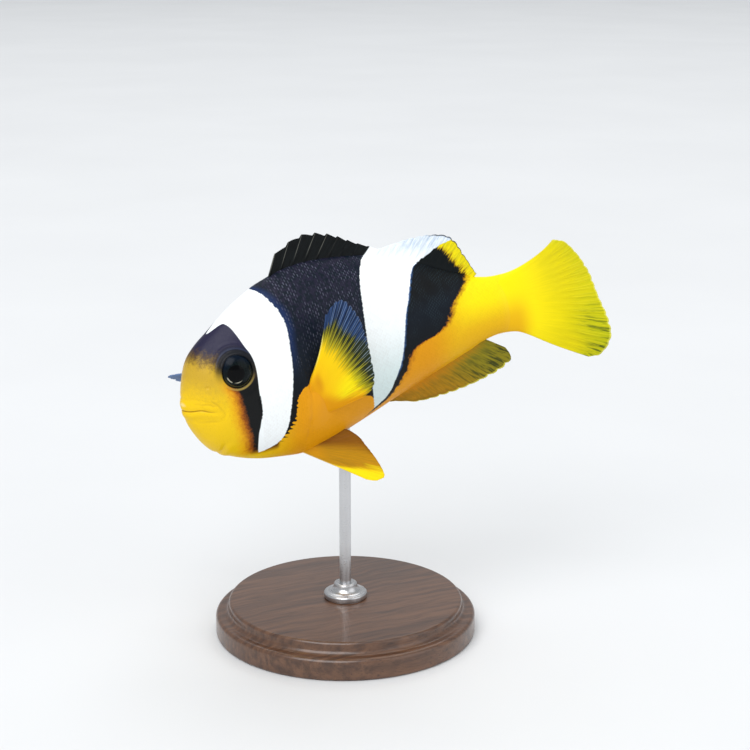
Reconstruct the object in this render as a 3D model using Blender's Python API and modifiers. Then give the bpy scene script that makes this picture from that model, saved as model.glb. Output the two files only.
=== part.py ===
"""Clark's anemonefish, life size, as a still model on a plain display stand.

The fish is modelled straight, in its own frame, and every finished piece is then bent and posed.
Straight frame: X runs from the snout to the tail, Z is up, the fish's left side faces -Y.
World frame: metres, +Z up, origin at the centre of the stand's underside.
"""

import math
from typing import NamedTuple

import bmesh
import bpy
from mathutils import Matrix, Vector

MM = 0.001
GAP = 0.3 * MM  # free space kept between neighbouring pieces

# Driving dimensions of the fish
STANDARD_LENGTH = 75.0 * MM  # snout to the root of the tail fin
SNOUT_ROUND = 4.6 * MM  # length over which the snout rounds off
TAIL_ROUND = 3.0 * MM  # length over which the root of the tail fin rounds off
FLESH_END = STANDARD_LENGTH + 2.0 * MM
RINGS = 40  # body rings from snout to tail
SEGMENTS = 32  # points round each ring
BACK_POWER = 1.85  # section shape above the widest level: 2 is an ellipse
BELLY_POWER = 2.1

# Where the body is parted
GILL_FRONT = 15.5 * MM
GILL_TOP = 7.5 * MM
GILL_BOTTOM = -12.5 * MM
GILL_THICKNESS = 2.2 * MM
HEAD_ARC_CENTRE = 2.0 * MM
HEAD_ARC_LENGTH = 22.0 * MM
HEAD_ARC_HEIGHT = 34.0 * MM
TAIL_BASE_START = 63.0 * MM

# Head
EYE_PLACE = Vector((10.6 * MM, 4.75 * MM, 5.9 * MM))
EYE_RADIUS = 3.7 * MM
EYE_DEPTH = 2.75 * MM  # half the eye's thickness across the head
EYE_FORWARD_DEG = 12.0  # how far the eye looks ahead of square
MOUTH_Z = -0.1 * MM
MOUTH_CORNER = (5.0 * MM, -1.1 * MM)
JAW_HINGE = (6.8 * MM, -5.4 * MM)

# Pose
HEAD_TURN_DEG = 12.0  # bend of the spine towards the left, ahead of the trunk
TAIL_TURN_DEG = 34.0  # bend of the spine towards the left, behind the trunk
TRUNK_X = 30.0 * MM  # the point of the spine that stays in line
FULCRUM_X = 37.0 * MM  # the point of the spine that stands above the rod
PITCH_DEG = 12.0  # nose down
FISH_HEIGHT = 60.0 * MM  # that point's height above the table

# Stand
BASE_HEIGHT = 7.0 * MM
BASE_OUTLINE = (
    (0, 0), (26.4, 0), (27, 0.6), (27, 3.7), (26.6, 4.3), (25.9, 4.5), (25.2, 4.6), (24.6, 5.1), (24.3, 5.8),
    (24.3, 6.4), (23.9, 6.9), (23.4, 7), (0, 7),
)  # radius and height of the turned base, in millimetres
ROD_RADIUS = 1.2 * MM
COLLAR_OUTLINE = (
    (0, 0), (4.5, 0), (4.5, 0.9), (4.0, 1.3), (3.2, 1.6), (2.6, 2.1), (2.35, 2.65), (2.0, 3), (0, 3),
)  # radius and height above its foot
ROD_SUNK = 4.0 * MM  # depth of the rod's socket in the base


class Station(NamedTuple):
    """One cross-section of the body, in millimetres."""

    place: str
    x: float
    back: float
    belly: float
    half_width: float
    widest: float


STATIONS = (
    Station("lips", 0.0, 5.2, -6.0, 3.0, 0.4),
    Station("snout", 4.5, 10.5, -10.15, 5.4, 0.3),
    Station("eye", 10.0, 13.9, -13.7, 6.8, 0.2),
    Station("cheek", 15.5, 16.9, -15.8, 8.0, 0.0),
    Station("nape", 22.0, 19.3, -17.0, 8.6, 0.0),
    Station("pectoral fin", 30.0, 20.2, -16.6, 8.6, 0.3),
    Station("mid trunk", 38.0, 19.2, -15.0, 8.0, 0.6),
    Station("vent", 47.0, 16.8, -12.6, 6.8, 0.8),
    Station("soft fins", 56.0, 12.8, -10.0, 5.1, 0.7),
    Station("last rays", 65.0, 8.0, -7.2, 3.4, 0.4),
    Station("peduncle", 70.5, 6.5, -6.2, 2.5, 0.1),
    Station("tail root", 77.0, 7.2, -7.4, 1.2, 0.0),
)
COLOURS = {
    "yellow": (0.85, 0.52, 0.02),
    "white": (0.85, 0.88, 0.9),
    "black": (0.02, 0.02, 0.03),
    "amber": (0.8, 0.32, 0.01),
    "eye": (0.01, 0.01, 0.015),
    "wood": (0.09, 0.045, 0.025),
    "steel": (0.6, 0.6, 0.62),
}


def through(xs, ys):
    """A smooth function through the points (xs, ys), by cubic Hermite pieces."""
    last = len(xs) - 1
    slopes = []
    for i in range(len(xs)):
        before, after = max(i - 1, 0), min(i + 1, last)
        slopes.append((ys[after] - ys[before]) / (xs[after] - xs[before]))

    def value(x):
        i = 0
        while i < last - 1 and x > xs[i + 1]:
            i += 1
        span = xs[i + 1] - xs[i]
        t = min(max((x - xs[i]) / span, 0.0), 1.0)
        rise = ys[i + 1] - ys[i]
        start, end = slopes[i] * span, slopes[i + 1] * span
        return ys[i] + t * (start + t * (3 * rise - 2 * start - end + t * (start + end - 2 * rise)))

    return value


def station_curve(field):
    """A body measure as a function of x, in metres."""
    xs = [s.x * MM for s in STATIONS]
    return through(xs, [getattr(s, field) * MM for s in STATIONS])


back_line = station_curve("back")
belly_line = station_curve("belly")
half_width_line = station_curve("half_width")
widest_line = station_curve("widest")


def round_off(distance, length):
    """0 at the very end of the body, rising to 1 along a quarter of an ellipse."""
    t = min(max(distance / length, 0.0), 1.0)
    return math.sqrt(1.0 - (1.0 - t) ** 2)


def body_point(x, angle, grow=0.0):
    """A point on the body's surface. The angle is 0 at the back and turns by the right side to the belly."""
    fullness = round_off(x, SNOUT_ROUND) * round_off(FLESH_END - x, TAIL_ROUND)
    level = widest_line(x)
    up, across = math.cos(angle), math.sin(angle)
    edge, power = (back_line(x), BACK_POWER) if up > 0 else (belly_line(x), BELLY_POWER)
    height = (abs(edge - level) * fullness + grow) * abs(up) ** (2 / power)
    width = (half_width_line(x) * fullness + grow) * abs(across) ** (2 / power)
    return Vector((x, math.copysign(width, across), level + math.copysign(height, up)))


def collection(name):
    """A new collection in the scene."""
    made = bpy.data.collections.new(name)
    bpy.context.scene.collection.children.link(made)
    return made


def new_object(name, mesh_builder, home):
    """An object in a collection, from a bmesh."""
    mesh = bpy.data.meshes.new(name)
    mesh_builder.to_mesh(mesh)
    mesh_builder.free()
    made = bpy.data.objects.new(name, mesh)
    home.objects.link(made)
    return made


def tool(name, mesh_builder, tools):
    """A cutter, which isn't part of the model."""
    made = new_object(name, mesh_builder, tools)
    made.hide_render = True
    made.display_type = "WIRE"
    return made


def boolean(target, cutter, operation):
    """Cuts, keeps or joins the cutter's volume, at once."""
    step = target.modifiers.new(operation.lower(), "BOOLEAN")
    step.solver = "EXACT"
    step.operation = operation
    step.object = cutter
    freeze(target)
    return target


def freeze(target):
    """Makes the evaluated mesh the object's own."""
    graph = bpy.context.evaluated_depsgraph_get()
    mesh = bpy.data.meshes.new_from_object(target.evaluated_get(graph))
    target.modifiers.clear()
    target.data = mesh


def copy_of(source, name, home):
    """A second object with its own copy of a mesh."""
    made = source.copy()
    made.data = source.data.copy()
    made.name = name
    home.objects.link(made)
    return made


def body_solid(grow=0.0):
    """The whole body as one closed surface: a sphere whose rings are laid along the fish."""
    shape = bmesh.new()
    bmesh.ops.create_uvsphere(shape, u_segments=SEGMENTS, v_segments=RINGS, radius=1.0)
    for v in shape.verts:
        along = math.acos(max(-1.0, min(1.0, -v.co.z))) / math.pi
        # Rings crowd towards both ends, where the body rounds off.
        share = along - 0.06 * math.sin(2 * math.pi * along)
        x = -grow + share * (FLESH_END + 2 * grow)
        clamped = min(max(x, 0.0), FLESH_END)
        angle = math.atan2(v.co.y, v.co.x)
        ends = along in (0.0, 1.0)
        point = body_point(clamped, angle, 0.0 if ends else grow)
        point.x = x
        v.co = point
    bmesh.ops.reverse_faces(shape, faces=shape.faces)
    return shape


def prism(outline, half_depth, middle=0.0):
    """A closed bar whose outline lies in the X-Z plane, reaching half_depth to each side of y = middle."""
    shape = bmesh.new()
    verts = [shape.verts.new((x, middle - half_depth, z)) for x, z in outline]
    side = shape.faces.new(verts)
    swept = bmesh.ops.extrude_face_region(shape, geom=[side])
    moved = [v for v in swept["geom"] if isinstance(v, bmesh.types.BMVert)]
    bmesh.ops.translate(shape, verts=moved, vec=(0.0, 2 * half_depth, 0.0))
    bmesh.ops.recalc_face_normals(shape, faces=shape.faces)
    return shape


def arc(centre_x, centre_z, length, height, start_deg, end_deg, steps):
    """Points along part of an ellipse in the X-Z plane."""
    turns = [math.radians(start_deg + (end_deg - start_deg) * i / steps) for i in range(steps + 1)]
    return [(centre_x + length * math.cos(a), centre_z + height * math.sin(a)) for a in turns]


def head_knife(grow):
    """The space of the head: all that lies ahead of one bowed line behind the gill covers."""
    rear = arc(HEAD_ARC_CENTRE, 0.0, HEAD_ARC_LENGTH + grow, HEAD_ARC_HEIGHT, -75, 75, 20)
    front = -5 * MM
    return prism([(front, rear[0][1]), *rear, (front, rear[-1][1])], 15 * MM)


def tail_knife(grow):
    """The space of the tail base."""
    start, end, half = TAIL_BASE_START - grow, 90 * MM, 15 * MM
    return prism([(start, -half), (end, -half), (end, half), (start, half)], half)


def gill_knife(grow):
    """The space of both gill covers, as seen from the side. Its front corners are rounded."""
    round_by = 3.5 * MM
    front, top, bottom = GILL_FRONT - grow, GILL_TOP + grow, GILL_BOTTOM - grow
    rear = 30 * MM
    upper = arc(front + round_by, top - round_by, round_by, round_by, 90, 180, 5)
    lower = arc(front + round_by, bottom + round_by, round_by, round_by, 180, 270, 5)
    return prism([*upper, *lower, (rear, bottom), (rear, top)], 15 * MM)


def jaw_knife(grow):
    """The space of the lower jaw: below the mouth's line and ahead of its hinge."""
    corner_x, corner_z = MOUTH_CORNER
    hinge_x, hinge_z = JAW_HINGE
    front, chin = -5 * MM, -14.5 * MM
    return prism(
        [
            (front, MOUTH_Z + grow),
            (0.0, MOUTH_Z + grow),
            (corner_x + 0.3 * grow, corner_z + grow),
            (hinge_x + grow, hinge_z),
            (hinge_x + grow, chin),
            (front, chin),
        ],
        15 * MM,
    )


def eye_ball(side, grow=0.0):
    """One eye: a flattened ball that looks outwards and a little forwards. side is -1 for the left."""
    shape = bmesh.new()
    bmesh.ops.create_uvsphere(shape, u_segments=20, v_segments=12, radius=1.0)
    radius, depth = EYE_RADIUS + grow, EYE_DEPTH + grow
    turned = Matrix.Rotation(math.radians(90 * side), 4, "X")
    ahead = Matrix.Rotation(math.radians(EYE_FORWARD_DEG * side), 4, "Z")
    place = Matrix.Translation((EYE_PLACE.x, side * EYE_PLACE.y, EYE_PLACE.z))
    size = Matrix.Diagonal((radius, radius, depth, 1.0))
    shape.transform(place @ ahead @ turned @ size)
    bmesh.ops.recalc_face_normals(shape, faces=shape.faces)
    return shape


class Ray(NamedTuple):
    """One of the rays that shape a fin, in degrees and millimetres."""

    share: float  # its place across the fin: 0 at the first ray, 1 at the last
    angle: float  # its direction in the fin's plane
    length: float  # from its root inside the body to the margin
    lean: float = 0.0  # how far it trails out of the fin's plane


class Fin(NamedTuple):
    """A fin as a fan of rays between two roots."""

    first_root: object  # a function of the share, giving a place in the straight frame
    rays: tuple
    plane: Matrix  # its columns point along the fin, up it and out of it
    columns: int
    rows: int
    root_thickness: float


EDGE_THICKNESS = 0.55 * MM
SUNK = 2.0 * MM  # how deep the rays of the middle fins start inside the body


def between(start, end, t):
    """Linear mix of two values."""
    return start + (end - start) * t


def plane_of(along, up):
    """A fin's plane from two directions that lie in it."""
    first = Vector(along).normalized()
    second = Vector(up)
    second = (second - first * second.dot(first)).normalized()
    return Matrix((first, second, first.cross(second))).transposed()


MIDDLE = plane_of((1, 0, 0), (0, 0, 1))


def fin_point(fin, share, reach):
    """The point of a fin at one share across it, reach being 0 at the root and 1 at the margin."""
    shares = [ray.share for ray in fin.rays]
    angle = through(shares, [ray.angle for ray in fin.rays])(share)
    length = through(shares, [ray.length for ray in fin.rays])(share)
    lean = through(shares, [ray.lean for ray in fin.rays])(share)
    turn, trail, run = math.radians(angle), math.radians(lean) * reach, length * MM * reach
    flat = run * math.cos(trail)
    local = Vector((flat * math.cos(turn), flat * math.sin(turn), -run * math.sin(trail)))
    return fin.first_root(share) + fin.plane @ local


def back_root(start, end):
    """Roots just inside the back, from x = start to x = end."""

    def root(share):
        x = between(start, end, share) * MM
        return Vector((x, 0.0, back_line(x) - SUNK))

    return root


def belly_root(start, end):
    """Roots just inside the belly, from x = start to x = end."""

    def root(share):
        x = between(start, end, share) * MM
        return Vector((x, 0.0, belly_line(x) + SUNK))

    return root


def line_root(start, end):
    """Roots along a straight line between two places, in millimetres."""
    return lambda share: Vector(start).lerp(Vector(end), share) * MM


DORSAL_SPINES = Fin(
    back_root(22.8, 45.4),
    (Ray(0, 60, 7.2), Ray(0.2, 57, 9.2), Ray(0.45, 50, 8.2), Ray(0.75, 46, 5.9), Ray(1, 44, 3.4)),
    MIDDLE, 20, 4, 1.5 * MM,
)
DORSAL_RAYS = Fin(
    back_root(47.4, 65.3),
    (Ray(0, 47, 5.2), Ray(0.3, 48, 8.1), Ray(0.55, 47, 8.9), Ray(0.75, 43, 6.3), Ray(1, 40, 2.8)),
    MIDDLE, 15, 4, 1.5 * MM,
)
ANAL = Fin(
    belly_root(44.0, 65.0),
    (
        Ray(0, -50, 5.0), Ray(0.25, -50, 7.9), Ray(0.5, -48, 9.8), Ray(0.8, -43, 10.9),
        Ray(0.93, -38.5, 10.1), Ray(1, -36, 7.4),
    ),
    MIDDLE, 15, 4, 1.5 * MM,
)
TAIL = Fin(
    line_root((74.0, 0.0, -6.8), (74.0, 0.0, 6.2)),
    (
        Ray(0, -31.5, 17.2), Ray(0.2, -22, 20.9), Ray(0.5, -10, 18.3, 12),
        Ray(0.7, -1, 17.6, 23), Ray(0.9, 9, 15.8, 30), Ray(1, 17, 13.2, 32),
    ),
    MIDDLE, 17, 6, 1.6 * MM,
)
PECTORAL_LENGTHS = ((0, 19.1), (0.15, 24.0), (0.35, 23.6), (0.55, 20.9), (0.75, 18.2), (0.9, 15.4), (1, 12.6))
LEFT_PECTORAL_ANGLES = (65, 61.5, 53, 44, 34, 21, 17)
RIGHT_PECTORAL_ANGLES = (0, 4, 13, 25, 38, 51, 59)
PELVIC_RAYS = (
    Ray(0, 31.5, 16.6), Ray(0.15, 26, 18.6), Ray(0.4, 12, 14.2),
    Ray(0.6, 1, 12.0), Ray(0.8, -9, 9.6), Ray(1, -18, 6.6),
)


def pectoral(side, reach, angles, plane):
    """A broad paddle: side is -1 for the left, and reach is the share of the rays' full length."""
    root = line_root((23.2, side * 6.8, -3.4), (23.8, side * 5.2, -9.9))
    measures = zip(PECTORAL_LENGTHS, angles)
    rays = tuple(Ray(share, angle, reach * length) for (share, length), angle in measures)
    return Fin(root, rays, plane, 18, 6, 1.8 * MM)


def pelvic(side):
    """A narrow fin folded back below the belly."""
    root = line_root((21.4, side * 2.2, -15.9), (23.4, side * 1.8, -15.2))
    plane = plane_of((0.94, side * 0.28, -0.1), (0.0, side * 0.25, -0.97))
    return Fin(root, PELVIC_RAYS, plane, 10, 5, 1.4 * MM)


LEFT_PECTORAL_PLANE = plane_of((0.857, -0.515, 0.0), (0.0, -0.26, 0.966))
RIGHT_PECTORAL_PLANE = plane_of((-0.61, 0.78, 0.14), (0.641, 0.636, -0.427))

FINS = {
    "dorsal_fin_spiny": (DORSAL_SPINES, "black"),
    "dorsal_fin_soft": (DORSAL_RAYS, "white"),
    "anal_fin": (ANAL, "amber"),
    "tail_fin": (TAIL, "yellow"),
    "pectoral_fin_left": (pectoral(-1, 1.0, LEFT_PECTORAL_ANGLES, LEFT_PECTORAL_PLANE), "yellow"),
    "pectoral_fin_right": (pectoral(1, 0.98, RIGHT_PECTORAL_ANGLES, RIGHT_PECTORAL_PLANE), "yellow"),
    "pelvic_fin_left": (pelvic(-1), "amber"),
    "pelvic_fin_right": (pelvic(1), "amber"),
}


def fin_solid(name, fin, home):
    """A fin blade, thickest at its root, whose first row lies inside the body."""
    shape = bmesh.new()
    bmesh.ops.create_grid(shape, x_segments=fin.columns, y_segments=fin.rows, size=0.5)
    reaches = [v.co.y + 0.5 for v in shape.verts]
    for v, reach in zip(shape.verts, reaches):
        v.co = fin_point(fin, v.co.x + 0.5, reach)
    made = new_object(name, shape, home)
    weights = made.vertex_groups.new(name="root")
    for index, reach in enumerate(reaches):
        weights.add([index], (1.0 - reach) ** 2, "REPLACE")
    wall = made.modifiers.new("thickness", "SOLIDIFY")
    wall.thickness = fin.root_thickness
    wall.offset = 0.0
    wall.vertex_group = "root"
    wall.thickness_vertex_group = EDGE_THICKNESS / fin.root_thickness
    freeze(made)
    return made


def turn_at(x):
    """The spine's heading at x, in radians: it curves towards the left at both ends."""
    ahead = max(TRUNK_X - x, 0.0) / TRUNK_X
    behind = max(x - TRUNK_X, 0.0) / (95 * MM - TRUNK_X)
    return math.radians(HEAD_TURN_DEG) * ahead**1.6 - math.radians(TAIL_TURN_DEG) * behind**1.3


def spine(steps=400, start=-40 * MM, end=120 * MM):
    """Places along the curved spine, found by adding up short steps: a list of (x, place)."""
    step = (end - start) / steps
    x, place, found = start, Vector((0.0, 0.0, 0.0)), []
    for _ in range(steps + 1):
        found.append((x, place.copy()))
        heading = turn_at(x + step / 2)
        place += Vector((math.cos(heading), math.sin(heading), 0.0)) * step
        x += step
    fulcrum = min(found, key=lambda item: abs(item[0] - FULCRUM_X))[1]
    return [(x, place - fulcrum) for x, place in found]


SPINE = spine()


def bent(point):
    """A point of the straight fish moved to where the curved spine carries it."""
    (start, _), (end, _) = SPINE[0], SPINE[-1]
    share = (point.x - start) / (end - start) * (len(SPINE) - 1)
    i = min(max(int(share), 0), len(SPINE) - 2)
    place = SPINE[i][1].lerp(SPINE[i + 1][1], share - i)
    heading = turn_at(point.x)
    across = Vector((-math.sin(heading), math.cos(heading), 0.0))
    return place + across * point.y + Vector((0.0, 0.0, point.z))


def posed(obj):
    """Bends a finished piece with the spine and sets the fish in its pose above the stand."""
    lift = Matrix.Translation((0.0, 0.0, FISH_HEIGHT))
    pitch = Matrix.Rotation(math.radians(-PITCH_DEG), 4, "Y")
    for v in obj.data.vertices:
        v.co = lift @ pitch @ bent(v.co)
    obj.data.update()


def material(name, roughness=0.4, metallic=0.0):
    """A plain Principled finish in one of the named colours."""
    made = bpy.data.materials.get(name)
    if made is None:
        made = bpy.data.materials.new(name)
        made.use_nodes = True
        shader = made.node_tree.nodes["Principled BSDF"]
        shader.inputs["Base Color"].default_value = (*COLOURS[name], 1.0)
        shader.inputs["Roughness"].default_value = roughness
        shader.inputs["Metallic"].default_value = metallic
    return made


def finish(obj, colour, **surface):
    """Gives a piece its material and smooth shading across its gentle edges."""
    obj.data.materials.clear()
    obj.data.materials.append(material(colour, **surface))
    obj.data.shade_smooth()
    obj.data.set_sharp_from_angle(angle=math.radians(40))


def side_half(side):
    """All space to one side of the fish's middle plane."""
    front, rear, half = -5 * MM, 40 * MM, 30 * MM
    outline = [(front, -half), (rear, -half), (rear, half), (front, half)]
    return prism(outline, 10 * MM, side * 10 * MM)


def part_jaw(head, parts, tools):
    """Parts the lower jaw from the head."""
    jaw = copy_of(head, "lower_jaw", parts)
    boolean(jaw, tool("jaw_space", jaw_knife(0.0), tools), "INTERSECT")
    boolean(head, tool("jaw_space_grown", jaw_knife(GAP), tools), "DIFFERENCE")
    return jaw


def part_gill_covers(head, parts, tools):
    """Parts a gill cover from each side of the head. The covers are shells of one thickness."""
    space = tool("gill_space", gill_knife(0.0), tools)
    boolean(space, tool("skull", body_solid(-GILL_THICKNESS), tools), "DIFFERENCE")
    grown = tool("gill_space_grown", gill_knife(GAP), tools)
    boolean(grown, tool("skull_shrunk", body_solid(-GILL_THICKNESS - GAP), tools), "DIFFERENCE")
    covers = []
    for name, side in (("gill_cover_left", -1), ("gill_cover_right", 1)):
        cover = copy_of(head, name, parts)
        boolean(cover, space, "INTERSECT")
        boolean(cover, tool(name + "_half", side_half(side), tools), "INTERSECT")
        covers.append(cover)
    boolean(head, grown, "DIFFERENCE")
    return covers


def build_flesh(parts, tools):
    """The body, parted into head, lower jaw, gill covers, trunk and tail base, and the eyes."""
    trunk = new_object("trunk", body_solid(), parts)
    head = copy_of(trunk, "head", parts)
    tail = copy_of(trunk, "tail_base", parts)
    boolean(head, tool("head_space", head_knife(0.0), tools), "INTERSECT")
    boolean(tail, tool("tail_space", tail_knife(0.0), tools), "INTERSECT")
    boolean(trunk, tool("head_space_grown", head_knife(GAP), tools), "DIFFERENCE")
    boolean(trunk, tool("tail_space_grown", tail_knife(GAP), tools), "DIFFERENCE")
    jaw = part_jaw(head, parts, tools)
    covers = part_gill_covers(head, parts, tools)
    for name, side in (("left", -1), ("right", 1)):
        boolean(head, tool("eye_socket_" + name, eye_ball(side, GAP), tools), "DIFFERENCE")
        eye = new_object("eye_" + name, eye_ball(side), parts)
        posed(eye)
        finish(eye, "eye", roughness=0.1)
    coloured = [(head, "yellow"), (jaw, "yellow"), (trunk, "black"), (tail, "yellow")]
    coloured += [(cover, "white") for cover in covers]
    for piece, colour in coloured:
        posed(piece)
        finish(piece, colour)


def build_fins(parts, tools):
    """All eight fins, each cut back from the body by the gap."""
    flesh = tool("flesh_grown", body_solid(GAP), tools)
    for name, (fin, colour) in FINS.items():
        blade = fin_solid(name, fin, parts)
        boolean(blade, flesh, "DIFFERENCE")
        posed(blade)
        finish(blade, colour)


def cylinder(radius, bottom, top, segments):
    """An upright closed cylinder on the Z axis."""
    shape = bmesh.new()
    bmesh.ops.create_cone(
        shape,
        cap_ends=True,
        segments=segments,
        radius1=radius,
        radius2=radius,
        depth=top - bottom,
        matrix=Matrix.Translation((0.0, 0.0, (bottom + top) / 2)),
    )
    return shape


def turned(outline, foot, segments):
    """A closed solid turned on the Z axis from an outline in millimetres whose two ends lie on the axis."""
    shape = bmesh.new()
    points = [shape.verts.new((radius * MM, 0.0, foot + height * MM)) for radius, height in outline]
    lines = [shape.edges.new(pair) for pair in zip(points, points[1:])]
    bmesh.ops.spin(
        shape, geom=points + lines, axis=(0, 0, 1), cent=(0, 0, 0), angle=2 * math.pi, steps=segments, use_merge=True
    )
    bmesh.ops.remove_doubles(shape, verts=shape.verts, dist=1e-7)
    bmesh.ops.recalc_face_normals(shape, faces=shape.faces)
    return shape


def build_stand(parts, tools):
    """A turned wooden base, a steel collar and a rod that ends at the belly."""
    base = new_object("stand_base", turned(BASE_OUTLINE, 0.0, 48), parts)
    finish(base, "wood", roughness=0.45)

    socket = tool("rod_socket", cylinder(ROD_RADIUS + GAP, BASE_HEIGHT - ROD_SUNK, FISH_HEIGHT, 24), tools)
    boolean(base, socket, "DIFFERENCE")
    collar = new_object("stand_collar", turned(COLLAR_OUTLINE, BASE_HEIGHT + GAP, 32), parts)
    boolean(collar, socket, "DIFFERENCE")
    finish(collar, "steel", roughness=0.3, metallic=1.0)

    rod = new_object("stand_rod", cylinder(ROD_RADIUS, BASE_HEIGHT - ROD_SUNK + GAP, FISH_HEIGHT, 24), parts)
    flesh = tool("flesh_posed", body_solid(GAP), tools)
    posed(flesh)
    boolean(rod, flesh, "DIFFERENCE")
    finish(rod, "steel", roughness=0.3, metallic=1.0)


def main():
    """Clears the scene and builds every piece."""
    for old in list(bpy.data.objects):
        bpy.data.objects.remove(old)
    parts, tools = collection("clownfish"), collection("cutters")
    build_flesh(parts, tools)
    build_fins(parts, tools)
    build_stand(parts, tools)


main()
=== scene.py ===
"""The looks of a clownfish, Clark's anemonefish, life size on a plain display stand.

The fish is shaped straight, in millimetres, in its own frame: X runs from the snout to the tail, Z is up
and the fish's left side faces -Y. Each finished mesh is then bent along the spine and set in its pose, in
metres, in the frame of the CAD model. Its straight place is kept on the mesh, so that skin, scales and
fins can all carry the same markings.
"""

from __future__ import annotations

import logging
import math
from dataclasses import dataclass
from enum import Enum
from typing import Callable, Iterable, Sequence, Union

import bmesh
import bpy
import numpy as np
from mathutils import Matrix, Vector

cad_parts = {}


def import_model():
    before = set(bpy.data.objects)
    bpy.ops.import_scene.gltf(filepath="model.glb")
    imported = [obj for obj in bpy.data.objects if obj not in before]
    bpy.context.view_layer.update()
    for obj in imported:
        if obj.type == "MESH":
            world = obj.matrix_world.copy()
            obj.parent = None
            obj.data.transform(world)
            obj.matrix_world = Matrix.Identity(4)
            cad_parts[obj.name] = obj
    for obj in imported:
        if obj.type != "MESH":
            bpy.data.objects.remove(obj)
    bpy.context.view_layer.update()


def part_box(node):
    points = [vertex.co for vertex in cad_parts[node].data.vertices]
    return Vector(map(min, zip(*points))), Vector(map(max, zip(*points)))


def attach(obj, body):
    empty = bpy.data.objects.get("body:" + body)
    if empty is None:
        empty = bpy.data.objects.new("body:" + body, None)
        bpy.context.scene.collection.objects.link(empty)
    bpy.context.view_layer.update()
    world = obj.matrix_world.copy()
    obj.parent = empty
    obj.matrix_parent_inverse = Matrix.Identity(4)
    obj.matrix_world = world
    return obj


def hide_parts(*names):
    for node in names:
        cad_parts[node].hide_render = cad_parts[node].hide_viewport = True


LOG = logging.getLogger("clownfish")
MM = 0.001
STRAIGHT = "straight"  # the mesh attribute that holds each point's place on the straight fish
BAKE_MAP = "OFBake"
Array = np.ndarray
Piece = bpy.types.Object
Colour = tuple[float, float, float]
Span = tuple[float, float]
Edge = tuple[Span, ...]


# ---- small tools


class Side(Enum):
    """The two sides of the fish, as the sign of Y."""

    LEFT = -1
    RIGHT = 1


def rise(value: Array, low: float, high: float) -> Array:
    """A smooth step.

    Args:
        value: Where to read it.
        low: The value at which it starts to rise from 0.
        high: The value at which it reaches 1.

    Returns:
        Numbers from 0 to 1.
    """
    t = np.clip((value - low) / (high - low), 0.0, 1.0)
    return t * t * (3.0 - 2.0 * t)


def fall(value: Array, low: float, high: float) -> Array:
    """A smooth step from 1 at low to 0 at high."""
    return 1.0 - rise(value, low, high)


def ridge(distance: Array, width: float | Array) -> Array:
    """A soft ridge that is 1 where distance is 0."""
    return np.exp(-((distance / width) ** 2))


@dataclass(frozen=True)
class SmoothCurve:
    """A smooth function through a few points, by cubic Hermite pieces."""

    xs: tuple[float, ...]
    ys: tuple[float, ...]

    def __call__(self, x: Array) -> Array:
        """Reads the curve.

        Args:
            x: Where to read it. Outside the points it stays level.

        Returns:
            The curve's height at each x.
        """
        xs, ys = np.asarray(self.xs), np.asarray(self.ys)
        last = len(xs) - 1
        index = np.arange(last + 1)
        before, after = np.maximum(index - 1, 0), np.minimum(index + 1, last)
        slopes = (ys[after] - ys[before]) / (xs[after] - xs[before])
        i = np.clip(np.searchsorted(xs, x, side="left") - 1, 0, last - 1)
        span, climb = xs[i + 1] - xs[i], ys[i + 1] - ys[i]
        t = np.clip((x - xs[i]) / span, 0.0, 1.0)
        start, end = slopes[i] * span, slopes[i + 1] * span
        return ys[i] + t * (start + t * (3 * climb - 2 * start - end + t * (start + end - 2 * climb)))


def coordinates(mesh: bpy.types.Mesh) -> Array:
    """A mesh's points as rows of three numbers."""
    found = np.empty(len(mesh.vertices) * 3, np.float32)
    mesh.vertices.foreach_get("co", found)
    return found.reshape(-1, 3).astype(float)


def move_points(mesh: bpy.types.Mesh, points: Array) -> None:
    """Puts a mesh's points at new places."""
    mesh.vertices.foreach_set("co", points.astype(np.float32).ravel())
    mesh.update()


def store_vectors(mesh: bpy.types.Mesh, name: str, values: Array) -> None:
    """Keeps three numbers for each point of a mesh, for its material to read."""
    made = mesh.attributes.new(name, "FLOAT_VECTOR", "POINT")
    made.data.foreach_set("vector", values.astype(np.float32).ravel())


def object_from(name: str, shape: bmesh.types.BMesh) -> Piece:
    """Makes an object in the scene from a bmesh, which is freed.

    Args:
        name: The piece's name.
        shape: Its mesh.

    Returns:
        The new object, shaded smooth.
    """
    mesh = bpy.data.meshes.new(name)
    shape.to_mesh(mesh)
    shape.free()
    mesh.shade_smooth()
    made = bpy.data.objects.new(name, mesh)
    bpy.context.scene.collection.objects.link(made)
    return made


def apply_modifiers(obj: Piece) -> None:
    """Makes the evaluated mesh the object's own."""
    graph = bpy.context.evaluated_depsgraph_get()
    mesh = bpy.data.meshes.new_from_object(obj.evaluated_get(graph))
    obj.modifiers.clear()
    obj.data = mesh


def hand_over(
    obj: Piece, slot: str, replaced: Iterable[str], material: bpy.types.Material
) -> None:
    """Dresses a finished piece and ties it to the CAD frame.

    Args:
        obj: The piece.
        slot: The record's material slot; not used.
        replaced: The CAD nodes that it stands for.
        material: Its finish.
    """
    obj.data.materials.clear()
    obj.data.materials.append(material)
    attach(obj, "root")
    names = list(replaced)
    if names:
        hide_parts(*names)
    obj.data.calc_loop_triangles()
    LOG.info("%s: %d triangles", obj.name, len(obj.data.loop_triangles))


# ---- shader expressions

Value = Union["Sock", float, int, Colour]


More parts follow.
